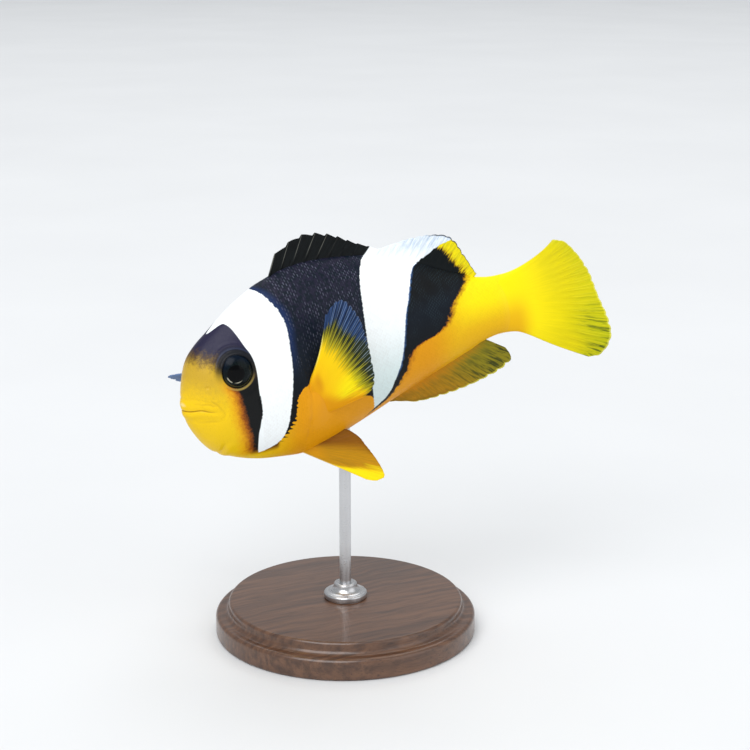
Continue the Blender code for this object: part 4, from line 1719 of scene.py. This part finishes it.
@dataclass(frozen=True)
class PectoralPaint(FinPaint):
    """A fleshy orange root, a yellow fan, and a blue tip beside a band of green-black membranes."""

    fan_root: Colour = (0.93, 0.50, 0.002)
    fan: Colour = (0.95, 0.62, 0.002)
    lemon: Colour = (0.96, 0.82, 0.003)
    shadow: Colour = (0.62, 0.20, 0.002)
    low_streak: Colour = (0.70, 0.30, 0.002)
    olive: Colour = (0.20, 0.20, 0.006)
    green_black: Colour = (0.008, 0.018, 0.010)
    band_ray: Colour = (0.55, 0.50, 0.03)
    tip_dark: Colour = (0.005, 0.014, 0.045)
    tip_blue: Colour = (0.042, 0.10, 0.27)
    tip_ray: Colour = (0.36, 0.46, 0.54)
    rim: Colour = (0.96, 0.82, 0.18)
    far_tip: Colour = (0.20, 0.30, 0.52)
    far_share: float = 0.0
    band_start: Edge = (
        (0.0, 0.76), (0.1, 0.69), (0.24, 0.64), (0.35, 0.67), (0.5, 0.69), (0.62, 0.73), (0.76, 0.80),
        (0.9, 0.95), (1.0, 1.1),
    )
    tip_start: Edge = (
        (0.0, 0.82), (0.06, 0.80), (0.3, 0.79), (0.43, 0.84), (0.56, 0.96), (0.7, 1.1), (1.0, 1.2),
    )

    def _root(self, at: FanPlace) -> Sock:
        """The fleshy root, the yellow fan and its orange lower edge."""
        share, reach = at.share, at.reach
        ground = at.ground()
        layers = (
            (self.lemon, (1.0 - abs(share - 0.84) * 4.0).most(0.0) * reach.rise(0.35, 0.6)),
            (ground, (reach - share * 0.08 - share.rise(0.55, 1.0) * 0.22).fall(0.10, 0.30)),
            (self.shadow, reach.ridge(0.26, 0.08) * share.ridge(0.35, 0.3) * 0.5),
            (self.low_streak, share.rise(0.74, 0.92) * at.streak.rise(0.35, 0.7) * 0.6),
            (ground, (share + reach.fall(0.3, 0.9) * 0.08).rise(0.86, 0.985)),
        )
        return at.tree.layers(at.tree.mix(self.fan_root, self.fan, reach.rise(0.2, 0.5)), layers)

    def paint(self, at: FanPlace) -> Sock:
        """The colour of the fin."""
        tree, share, reach, streak = at.tree, at.share, at.reach, at.streak
        lines = at.lines(reach.rise(0.35, 1.0))
        past = reach - tree.curve(share, self.band_start) + (streak - 0.5) * 0.1
        tip = (reach - tree.curve(share, self.tip_start) + (streak - 0.5) * 0.05).rise(-0.03, 0.05)
        blue = tree.mix(self.tip_dark, self.tip_blue, streak.rise(0.15, 0.85) * 0.55 + lines * 0.45)
        pale = lines * past.rise(0.08, 0.16) * share.rise(0.04, 0.1) * (streak * 0.55 + 0.14)
        rim = share.fall(0.005, 0.03) * reach.rise(0.3, 0.5) * reach.fall(0.7, 0.8)
        layers = [
            (self.olive, past.rise(-0.16, 0.0) * 0.85),
            (self.green_black, past.rise(-0.05, 0.08) * 0.97),
            (self.band_ray, lines * past.rise(-0.14, -0.04) * past.fall(0.06, 0.18) * 0.7),
            (blue, tip),
            (self.tip_ray, pale * (1.0 - tip * 0.4)),
            (self.rim, rim * 0.6),
        ]
        if self.far_share > 0.0:
            far = reach.rise(0.78, 0.95) * share.fall(0.45, 0.75) * self.far_share
            layers.append((self.far_tip, far))
        return tree.layers(self._root(at), layers)


@dataclass(frozen=True)
class PelvicPaint(FinPaint):
    """Ochre, with painted shadow of the body along the top, and a bright yellow lower edge."""

    ochre: Colour = (0.50, 0.23, 0.003)
    streak: Colour = (0.38, 0.19, 0.004)
    # painted shadow of the body along the top of the fin
    painted_body_shadow: Colour = (0.20, 0.062, 0.002)
    yellow: Colour = (0.93, 0.69, 0.003)
    margin: Colour = (0.20, 0.07, 0.002)
    front: Colour = (0.85, 0.60, 0.12)

    def paint(self, at: FanPlace) -> Sock:
        """The colour of the fin."""
        share, reach = at.share, at.reach
        low = (reach.rise(0.35, 0.9) * 0.22 - share + (at.streak - 0.5) * 0.06).rise(-0.05, 0.06)
        layers = (
            (at.ground(), reach.fall(0.15, 0.4) * 0.5),
            # painted shadow of the body along the top
            (self.painted_body_shadow, (share - 0.42 + reach * 0.12).rise(0.0, 0.25) * 0.85),
            (self.yellow, low * reach.rise(0.32, 0.6)),
            (self.margin, reach.rise(0.93, 0.98) * share.rise(0.3, 0.45) * 0.5),
            (self.front, share.fall(0.0, 0.04) * reach.fall(0.5, 0.8) * 0.6),
        )
        return at.tree.layers(at.tree.mix(self.ochre, self.streak, at.streak), layers)


@dataclass(frozen=True)
class FinFinish:
    """A fin's skin: its own paint, with the joints of the rays and a fine grain."""

    kind: FinKind
    count: int
    paint: FinPaint
    roughness: float = 0.45

    def material(self) -> bpy.types.Material:
        """Builds the material."""
        tree = Tree(self.kind.value + "_skin")
        place, x, _, z = tree.attribute(STRAIGHT)
        fan, share, reach, ray = tree.attribute("fan")
        streak = tree.noise(tree.stretched(fan, (60.0, 3.0, 0.0)), 1.0, 3.0, 0.6).rise(0.3, 0.7)
        colour = self.paint.paint(FanPlace(tree, x, z, share, reach, ray, streak, self.count))
        joints = (reach * 150.0).sine() * ray.rise(0.5, 0.9) * reach.rise(0.25, 0.4)
        grain = tree.noise(place, 4.0, 3.0, 0.6)
        bump = tree.bump(joints * 0.25 + grain * 0.8, 0.00005, 0.5)
        return tree.wet(colour, streak * 0.12 + self.roughness - 0.06, 0.12, (0.03, 0.3), bump)


@dataclass
class FinBlade:
    """One fin: a fan of rays with thin skin between them."""

    plan: FinPlan
    edge_thick: float = 0.36

    def build(self) -> Piece:
        """Builds the blade from a grid, thick along its rays and thin between them."""
        plan = self.plan
        columns = (plan.count - 1) * plan.per_ray
        shape = bmesh.new()
        bmesh.ops.create_grid(shape, x_segments=columns, y_segments=plan.rows, size=0.5)
        blade = object_from(plan.kind.value + "_blade", shape)
        grid = coordinates(blade.data)
        share, row = np.clip(grid[:, 0] + 0.5, 0, 1), np.clip(grid[:, 1] + 0.5, 0, 1)
        deep = row * (1.0 + plan.buried) - plan.buried
        reach = np.maximum(deep, 0.0)
        bars, drawn_back = plan.relief(share, reach)
        bars = bars * rise(reach, plan.smooth, plan.smooth + 0.3)
        middle = plan.point(share, deep * (1.0 - drawn_back * reach**3))
        wave = np.sin(share * 17.0 + 1.3) * 0.6 + np.sin(share * 31.0 + reach * 4.0) * 0.4
        quilt = np.cos(share * (plan.count - 1) * 2 * math.pi)
        sway = plan.ripple * wave * reach**2 + plan.quilting * quilt * rise(reach, 0.4, 0.9)
        middle = middle + (plan.plane[:, 2][None, :]) * sway[:, None]
        rounding = np.sqrt(1.0 - np.minimum(np.abs(2.0 * share - 1.0) ** plan.square, 1.0))
        thick = self.edge_thick + (plan.thick - self.edge_thick) * (1.0 - deep) ** plan.taper * rounding
        membrane = thick * (1.0 - plan.relief_share * rise(reach, plan.smooth, plan.smooth + 0.3))
        wall = membrane + (thick - membrane) * bars
        if plan.fleshy > 0.0:
            wall = wall + 0.5 * ridge(reach - 0.6 * plan.fleshy, 0.45 * plan.fleshy) * rounding
        self._thicken(blade, wall)
        store_vectors(blade.data, "fan", np.stack([share, reach, bars], axis=-1))
        move_points(blade.data, middle)
        apply_modifiers(blade)
        straight = coordinates(blade.data)
        store_vectors(blade.data, STRAIGHT, straight)
        move_points(blade.data, POSE.place(straight))
        blade.data.name = blade.name
        return blade

    def _thicken(self, blade: Piece, wall: Array) -> None:
        """Adds a Solidify modifier whose thickness follows the rays."""
        widest = float(wall.max())
        group = blade.vertex_groups.new(name="wall")
        for index, share in enumerate(wall / widest):
            group.add([index], float(share), "REPLACE")
        solid = blade.modifiers.new("wall", "SOLIDIFY")
        solid.thickness = widest
        solid.offset = 0.0
        solid.vertex_group = "wall"
        solid.thickness_vertex_group = 0.0

    def dress(self, blade: Piece) -> None:
        """Gives the fin its finish."""
        kind = self.plan.kind
        pelvic, pectoral = PelvicPaint(), PectoralPaint()
        looks: dict[FinKind, tuple[str, FinPaint]] = {
            FinKind.SPINY_DORSAL: ("skin_black", SpinyDorsalPaint()),
            FinKind.SOFT_DORSAL: ("skin_white", SoftDorsalPaint()),
            FinKind.ANAL: ("fin_orange", AnalPaint()),
            FinKind.TAIL: ("fin_yellow", TailPaint()),
            FinKind.PECTORAL_LEFT: ("fin_yellow", pectoral),
            FinKind.PECTORAL_RIGHT: ("fin_yellow", PectoralPaint(far_share=0.6)),
            FinKind.PELVIC_LEFT: ("fin_orange", pelvic),
            FinKind.PELVIC_RIGHT: ("fin_orange", pelvic),
        }
        slot, paint = looks[kind]
        hand_over(blade, slot, [kind.value], FinFinish(kind, self.plan.count, paint).material())


@dataclass(frozen=True)
class FinSet:
    """The outlines of all eight fins, as the CAD model has them."""

    sunk: float = 2.0
    pectoral_lengths: tuple[Span, ...] = (
        (0, 19.1), (0.15, 24.0), (0.35, 23.6), (0.55, 20.9), (0.75, 18.2), (0.9, 15.4), (1, 12.6),
    )
    left_angles: tuple[float, ...] = (65, 61.5, 53, 44, 34, 21, 17)
    right_angles: tuple[float, ...] = (0, 4, 13, 25, 38, 51, 59)

    def _body_root(self, line: str, start: float, end: float) -> Callable[[Array], Array]:
        """Roots just inside the back or the belly.

        Args:
            line: Which of the two.
            start: Place along the fish of the first ray.
            end: That of the last ray.

        Returns:
            A function that gives the root at each share across the fin.
        """
        inwards = -self.sunk if line == "back" else self.sunk

        def root(share: Array) -> Array:
            """The root at each share across the fin."""
            x = start + (end - start) * share
            return np.stack([x, np.zeros_like(x), FLESH.body.line(line)(x) + inwards], axis=-1)

        return root

    @staticmethod
    def _line_root(start: Sequence[float], end: Sequence[float]) -> Callable[[Array], Array]:
        """Roots along a straight line."""
        first, last = np.array(start), np.array(end)
        return lambda share: first + (last - first) * share[:, None]

    def _pectoral(
        self, kind: FinKind, side: Side, reach: float, angles: Sequence[float], plane: Array
    ) -> FinPlan:
        """A broad paddle on a fleshy root.

        Args:
            kind: Which of the two.
            side: The side it stands out to.
            reach: Its size, 1 for the lengths given above.
            angles: Its rays' angles, in degrees.
            plane: The plane it lies in.

        Returns:
            The fin's plan.
        """
        s = side.value
        root = self._line_root((23.2, s * 6.8, -3.4), (24.4, s * 4.9, -9.7))
        rays = tuple(Ray(at, angle, reach * long) for (at, long), angle in zip(self.pectoral_lengths, angles))
        return FinPlan(
            kind, root, rays, plane, 19, 2.0, fleshy=0.14, smooth=0.45, notch=0.022, per_ray=12,
            relief_share=0.35, quilting=0.01, hollow=0.8,
        )

    def _pelvic(self, kind: FinKind, side: Side) -> FinPlan:
        """A narrow fin folded back below the belly."""
        s = side.value
        root = self._line_root((21.4, s * 2.2, -15.9), (23.4, s * 1.8, -15.2))
        plane = plane_of((0.94, s * 0.28, -0.1), (0.0, s * 0.25, -0.97))
        rays = (
            Ray(0, 31.5, 15.4), Ray(0.06, 29.6, 17.7), Ray(0.14, 26.4, 18.7), Ray(0.22, 22.6, 17.9),
            Ray(0.4, 12, 14.6), Ray(0.6, 1, 12.1), Ray(0.8, -9, 9.7), Ray(1, -18, 6.6),
        )
        return FinPlan(kind, root, rays, plane, 6, 1.4, per_ray=20, notch=0.015, rows=56, relief_share=0.4)

    def plans(self) -> list[FinPlan]:
        """Every fin of the fish."""
        middle = plane_of((1, 0, 0), (0, 0, 1))
        spines = (Ray(0, 60, 7.2), Ray(0.2, 57, 9.1), Ray(0.45, 50, 8.2), Ray(0.75, 46, 5.6), Ray(1, 44, 4.0))
        soft = (
            Ray(0, 44.5, 4.1), Ray(0.11, 47, 5.1), Ray(0.38, 48, 8.1), Ray(0.6, 47, 8.9), Ray(0.78, 43, 6.3),
            Ray(1, 40, 2.8),
        )
        anal = (
            Ray(0, -42, 2.9), Ray(0.09, -47, 4.7), Ray(0.17, -50, 6.4), Ray(0.31, -50, 7.9),
            Ray(0.54, -48, 9.8), Ray(0.78, -43.5, 10.9), Ray(0.89, -40.5, 10.9), Ray(0.95, -38, 10.0),
            Ray(1, -36, 7.2),
        )
        tail = (
            Ray(0, -33.6, 16.4), Ray(0.05, -31.1, 18.7), Ray(0.2, -22, 20.5), Ray(0.5, -10, 18.1, 12),
            Ray(0.7, -1.5, 17.5, 23), Ray(0.9, 8.4, 15.8, 30), Ray(0.96, 12.6, 14.6, 31),
            Ray(1, 15.8, 12.8, 32),
        )
        left = plane_of((0.857, -0.515, 0.0), (0.0, -0.26, 0.966))
        right = plane_of((-0.61, 0.78, 0.14), (0.641, 0.636, -0.427))
        return [
            FinPlan(
                FinKind.SPINY_DORSAL, self._body_root("back", 22.8, 45.4), spines, middle, 10, 1.5,
                per_ray=20, rows=44, notch=0.10, spiny=True, ripple=0.05, smooth=0.1,
            ),
            FinPlan(
                FinKind.SOFT_DORSAL, self._body_root("back", 45.3, 65.3), soft, middle, 16, 1.5,
                rows=48, ripple=0.08,
            ),
            FinPlan(
                FinKind.ANAL, self._body_root("belly", 42.2, 65.0), anal, middle, 14, 1.5,
                rows=50, smooth=0.3,
            ),
            FinPlan(
                FinKind.TAIL, self._line_root((74.0, 0.0, -6.05), (74.0, 0.0, 6.2)), tail, middle, 17, 2.7,
                per_ray=14, rows=76, notch=0.012, ripple=0.2, smooth=0.4, taper=2.2,
                relief_share=0.4, hollow=-0.4, buried=0.17, ease=1.4, square=2.0,
            ),
            self._pectoral(FinKind.PECTORAL_LEFT, Side.LEFT, 1.0, self.left_angles, left),
            self._pectoral(FinKind.PECTORAL_RIGHT, Side.RIGHT, 0.98, self.right_angles, right),
            self._pelvic(FinKind.PELVIC_LEFT, Side.LEFT),
            self._pelvic(FinKind.PELVIC_RIGHT, Side.RIGHT),
        ]


# ---- eyes


@dataclass(frozen=True)
class EyeFinish:
    """A glossy dark eye: black pupil, broken pale ring, blue-green iris, painted sheen and reflections."""

    name: str = "fish_eye"
    pupil_forward: float = 0.6
    iris: Colour = (0.0010, 0.0025, 0.0028)
    fleck: Colour = (0.0035, 0.008, 0.008)
    # painted sheen on the top of the iris
    upper: Colour = (0.002, 0.006, 0.014)
    pupil: Colour = (0.0005, 0.0006, 0.001)
    # the pale ring round the pupil: two low crescents, partly the iris's own ring and partly painted
    # reflection
    ring: Colour = (0.55, 0.52, 0.40)
    rim: Colour = (0.09, 0.085, 0.03)

    def material(self) -> bpy.types.Material:
        """Builds the material."""
        tree = Tree(self.name)
        disc, rear, up, _ = tree.attribute("disc")
        reach = (rear * rear + up * up) ** 0.5
        height = up / reach.most(0.01)
        front = rear + self.pupil_forward
        hub = (front * front + up * up) ** 0.5
        flecks = tree.noise(disc, 2.6, 4.0, 0.65).rise(0.35, 0.65)
        front_arc = (-front).rise(1.0, 1.25) * (-up).rise(0.2, 0.6)
        low_arc = front.ridge(0.15, 1.0) * (-up).rise(1.1, 1.5)
        layers = (
            # painted sheen on the top of the iris
            (self.upper, height.rise(0.0, 0.8) * reach.rise(1.8, 3.0)),
            (self.pupil, hub.fall(1.68, 1.82)),
            # pale crescents round the pupil, partly painted reflection
            (self.ring, hub.ridge(1.88, 0.17) * front_arc.most(low_arc) * 0.9),
            (self.rim, reach.ridge(2.95, 0.25) * height.fall(-0.6, 0.0) * 0.6),
        )
        return tree.finish(
            {
                "Base Color": tree.layers(tree.mix(self.iris, self.fleck, flecks), layers),
                "Roughness": 0.2,
                "Specular IOR Level": 0.08,
                "Coat Weight": 0.16,
                "Coat IOR": 1.22,
                "Coat Roughness": 0.05,
                "Normal": tree.bump(flecks * reach.rise(2.1, 2.4), 0.00004, 0.25),
            }
        )


@dataclass
class Eye:
    """One eyeball: a flattened ball with a slightly domed front."""

    side: Side
    socket: EyeSocket = EyeSocket()
    segments: int = 96
    rings: int = 64

    def build(self) -> Piece:
        """Builds the eye where the CAD model has it."""
        shape = bmesh.new()
        bmesh.ops.create_uvsphere(shape, u_segments=self.segments, v_segments=self.rings, radius=1.0)
        eye = object_from(f"eyeball_{self.side.name.lower()}", shape)
        ball = coordinates(eye.data)
        socket = self.socket
        side = np.full(len(ball), float(self.side.value))
        out, rear = socket.axes(side)
        across, up = ball[:, 0] * socket.radius, ball[:, 1] * socket.radius
        level = ball[:, 2] * socket.depth
        straight = socket.middles(side) + rear * across[:, None] + out * level[:, None]
        straight[:, 2] += up
        store_vectors(eye.data, "disc", np.stack([across, up, level], axis=-1))
        store_vectors(eye.data, STRAIGHT, straight)
        move_points(eye.data, POSE.place(straight))
        if self.side is Side.RIGHT:
            eye.data.flip_normals()
        return eye

    def dress(self, eye: Piece, finish: bpy.types.Material) -> None:
        """Gives the eye its finish."""
        hand_over(eye, "eye", [f"eye_{self.side.name.lower()}"], finish)


# ---- stand


@dataclass(frozen=True)
class WoodFinish:
    """Dark varnished hardwood with a straight grain."""

    name: str = "dark_hardwood"
    dark: Colour = (0.055, 0.022, 0.010)
    light: Colour = (0.135, 0.060, 0.028)
    pore: Colour = (0.025, 0.010, 0.005)

    def material(self) -> bpy.types.Material:
        """Builds the material."""
        tree = Tree(self.name)
        place = tree.node("ShaderNodeTexCoord", {}, {}, "Object")
        warp = tree.noise(place, 60.0, 2.0, 0.5)
        x, y, z = tree.split(place)
        bands = tree.vector(x * 40.0, y * 900.0 + warp * 6.0, z * 500.0)
        grain = tree.noise(bands, 1.0, 4.0, 0.6).rise(0.3, 0.7)
        fibre = tree.noise(tree.stretched(place, (200.0, 5200.0, 5200.0)), 1.0, 2.0, 0.5)
        colour = tree.mix(tree.mix(self.dark, self.light, grain), self.pore, fibre.rise(0.58, 0.7) * 0.7)
        return tree.finish(
            {
                "Base Color": colour,
                "Roughness": fibre * 0.2 + 0.3,
                "Coat Weight": 0.5,
                "Coat Roughness": 0.15,
                "Normal": tree.bump(fibre, 0.00004, 0.35),
            }
        )


@dataclass(frozen=True)
class SteelFinish:
    """Brushed stainless steel."""

    name: str = "brushed_steel"
    tones: tuple[Colour, Colour] = ((0.50, 0.50, 0.51), (0.66, 0.66, 0.67))

    def material(self) -> bpy.types.Material:
        """Builds the material."""
        tree = Tree(self.name)
        place = tree.node("ShaderNodeTexCoord", {}, {}, "Object")
        hairs = tree.noise(tree.stretched(place, (900.0, 900.0, 12000.0)), 1.0, 3.0, 0.6)
        colour = tree.mix(*self.tones, tree.noise(place, 120.0, 2.0, 0.5))
        return tree.finish(
            {
                "Base Color": colour,
                "Metallic": 1.0,
                "Roughness": hairs * 0.25 + 0.18,
                "Normal": tree.bump(hairs, 0.00002, 0.3),
            }
        )


@dataclass
class Stand:
    """A turned base, a collar, and a rod that ends in the belly."""

    steps: int = 128
    sink: float = 1.2

    def _turned(self, name: str, profile: Sequence[Span]) -> Piece:
        """Turns an outline round the Z axis.

        Args:
            name: The piece's name.
            profile: Radii and heights in millimetres, from the axis at the bottom to the axis at the top.

        Returns:
            A closed solid.
        """
        shape = bmesh.new()
        verts = [shape.verts.new((radius * MM, 0.0, height * MM)) for radius, height in profile]
        edges = [shape.edges.new(pair) for pair in zip(verts, verts[1:])]
        bmesh.ops.spin(
            shape, geom=[*verts, *edges], axis=(0, 0, 1), cent=(0, 0, 0), angle=2 * math.pi,
            steps=self.steps, use_merge=True,
        )
        bmesh.ops.remove_doubles(shape, verts=shape.verts, dist=1e-7)
        bmesh.ops.recalc_face_normals(shape, faces=shape.faces)
        made = object_from(name, shape)
        made.data.set_sharp_from_angle(angle=math.radians(38))
        return made

    @staticmethod
    def _arc(
        radius: float, height: float, size: float, start_deg: float, end_deg: float
    ) -> list[Span]:
        """Points of a small arc in an outline.

        Args:
            radius: The arc's centre, from the axis.
            height: The centre's height.
            size: The arc's own radius.
            start_deg: Where it starts, 0 being outwards and 90 upwards.
            end_deg: Where it ends.

        Returns:
            Radii and heights.
        """
        steps = 8
        turns = [math.radians(start_deg + (end_deg - start_deg) * i / steps) for i in range(steps + 1)]
        return [(radius + size * math.cos(a), height + size * math.sin(a)) for a in turns]

    def build(self) -> dict[str, Piece]:
        """Builds the three pieces to the CAD model's sizes."""
        _, base_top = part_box("stand_base")
        _, collar_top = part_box("stand_collar")
        rod_low, rod_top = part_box("stand_rod")
        radius, height = base_top.x / MM, base_top.z / MM
        base = [
            (0.0, 0.0),
            *self._arc(radius - 0.6, 0.6, 0.6, -90, 0),
            *self._arc(radius - 0.9, height - 3.4, 0.9, 0, 90),
            (radius - 1.5, height - 2.5),
            *reversed(self._arc(radius - 1.5, height - 1.3, 1.2, 180, 270)),
            *self._arc(radius - 3.4, height - 0.7, 0.7, 0, 90),
            (0.0, height),
        ]
        wide, low, top = collar_top.x / MM, height, collar_top.z / MM
        collar = [
            (0.0, low - 0.1),
            (wide - 0.3, low - 0.1),
            *self._arc(wide - 0.3, low + 0.4, 0.3, -90, 0),
            *self._arc(wide - 0.5, low + 0.9, 0.5, 0, 90),
            *reversed(self._arc(wide - 0.5, top - 0.4, 1.6, 180, 262)),
            *self._arc(2.0, top - 0.35, 0.35, 0, 90),
            (0.0, top),
        ]
        thin, foot = rod_top.x / MM, rod_low.z / MM
        tip = rod_top.z / MM + self.sink
        rod = [(0.0, foot), (thin, foot), (thin, tip - 3.0), (thin * 0.7, tip), (0.0, tip)]
        return {
            "stand_base": self._turned("stand_plinth", base),
            "stand_collar": self._turned("stand_ring", collar),
            "stand_rod": self._turned("stand_post", rod),
        }

    def dress(self, pieces: dict[str, Piece]) -> None:
        """Gives the stand its finishes."""
        wood, steel = WoodFinish().material(), SteelFinish().material()
        hand_over(pieces["stand_base"], "base_wood", ["stand_base"], wood)
        hand_over(pieces["stand_collar"], "rod_steel", ["stand_collar"], steel)
        hand_over(pieces["stand_rod"], "rod_steel", ["stand_rod"], steel)


# ---- studio


@dataclass(frozen=True)
class Lamp:
    """A soft area light."""

    name: str
    azimuth_deg: float
    elevation_deg: float
    distance: float
    size: float
    power: float
    colour: Colour = (1.0, 1.0, 1.0)


@dataclass
class Studio:
    """A pale floor, soft light and the camera."""

    target: tuple[float, float, float] = (0.0039, -0.0058, 0.0557)
    azimuth_deg: float = -28.0
    elevation_deg: float = 15.0
    distance: float = 0.36
    lens: float = 86.4
    sensor: float = 36.0
    floor_size: float = 12.0
    floor_tones: tuple[Colour, Colour] = ((0.70, 0.71, 0.72), (0.76, 0.77, 0.78))
    world: Colour = (0.86, 0.89, 0.92)
    world_strength: float = 0.55
    lamps: tuple[Lamp, ...] = (
        Lamp("key_light", -50.0, 48.0, 3.0, 2.4, 74.0),
        Lamp("fill_light", 35.0, 25.0, 3.6, 3.2, 30.0),
        Lamp("top_light", 150.0, 62.0, 3.2, 2.4, 34.0),
    )

    @staticmethod
    def _direction(azimuth_deg: float, elevation_deg: float) -> Vector:
        """The direction from the object to a place round it."""
        a, e = math.radians(azimuth_deg), math.radians(elevation_deg)
        return Vector((math.sin(a) * math.cos(e), -math.cos(a) * math.cos(e), math.sin(e)))

    def _aimed(self, obj: Piece, direction: Vector, distance: float) -> None:
        """Sets an object at a distance from the fish, facing it.

        Args:
            obj: The lamp or the camera.
            direction: Where it is, seen from the fish.
            distance: How far, in metres.
        """
        obj.location = Vector(self.target) + direction * distance
        obj.rotation_mode = "QUATERNION"
        obj.rotation_quaternion = (-direction).to_track_quat("-Z", "Y")
        bpy.context.scene.collection.objects.link(obj)

    def build(self) -> None:
        """Builds the floor, the lights and the camera."""
        shape = bmesh.new()
        bmesh.ops.create_grid(shape, x_segments=2, y_segments=2, size=self.floor_size / 2)
        floor = object_from("floor", shape)
        tree = Tree("pale_floor")
        place = tree.node("ShaderNodeTexCoord", {}, {}, "Object")
        colour = tree.mix(*self.floor_tones, tree.noise(place, 9.0, 3.0, 0.5))
        floor.data.materials.append(tree.finish({"Base Color": colour, "Roughness": 0.75}))
        for lamp in self.lamps:
            light = bpy.data.lights.new(lamp.name, "AREA")
            light.energy, light.size, light.color = lamp.power, lamp.size, lamp.colour
            holder = bpy.data.objects.new(lamp.name, light)
            self._aimed(holder, self._direction(lamp.azimuth_deg, lamp.elevation_deg), lamp.distance)
        world = bpy.data.worlds.new("studio")
        world.use_nodes = True
        background = world.node_tree.nodes["Background"]
        background.inputs["Color"].default_value = (*self.world, 1.0)
        background.inputs["Strength"].default_value = self.world_strength
        bpy.context.scene.world = world
        bpy.context.scene.view_settings.view_transform = "Standard"
        camera = bpy.data.cameras.new("camera")
        camera.lens, camera.sensor_width = self.lens, self.sensor
        camera.clip_start = 0.01
        holder = bpy.data.objects.new("camera", camera)
        self._aimed(holder, self._direction(self.azimuth_deg, self.elevation_deg), self.distance)
        bpy.context.scene.camera = holder


def main() -> None:
    """Builds and dresses every piece round the CAD frame."""
    logging.basicConfig(level=logging.INFO, format="%(message)s")
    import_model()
    skin = Skin()
    skin.dress(skin.build())
    coat = ScaleCoat()
    coat.dress(coat.build())
    for plan in FinSet().plans():
        fin = FinBlade(plan)
        fin.dress(fin.build())
    eye_finish = EyeFinish().material()
    for side in Side:
        eye = Eye(side)
        eye.dress(eye.build(), eye_finish)
    stand = Stand()
    stand.dress(stand.build())
    Studio().build()


if __name__ == "__main__":
    main()
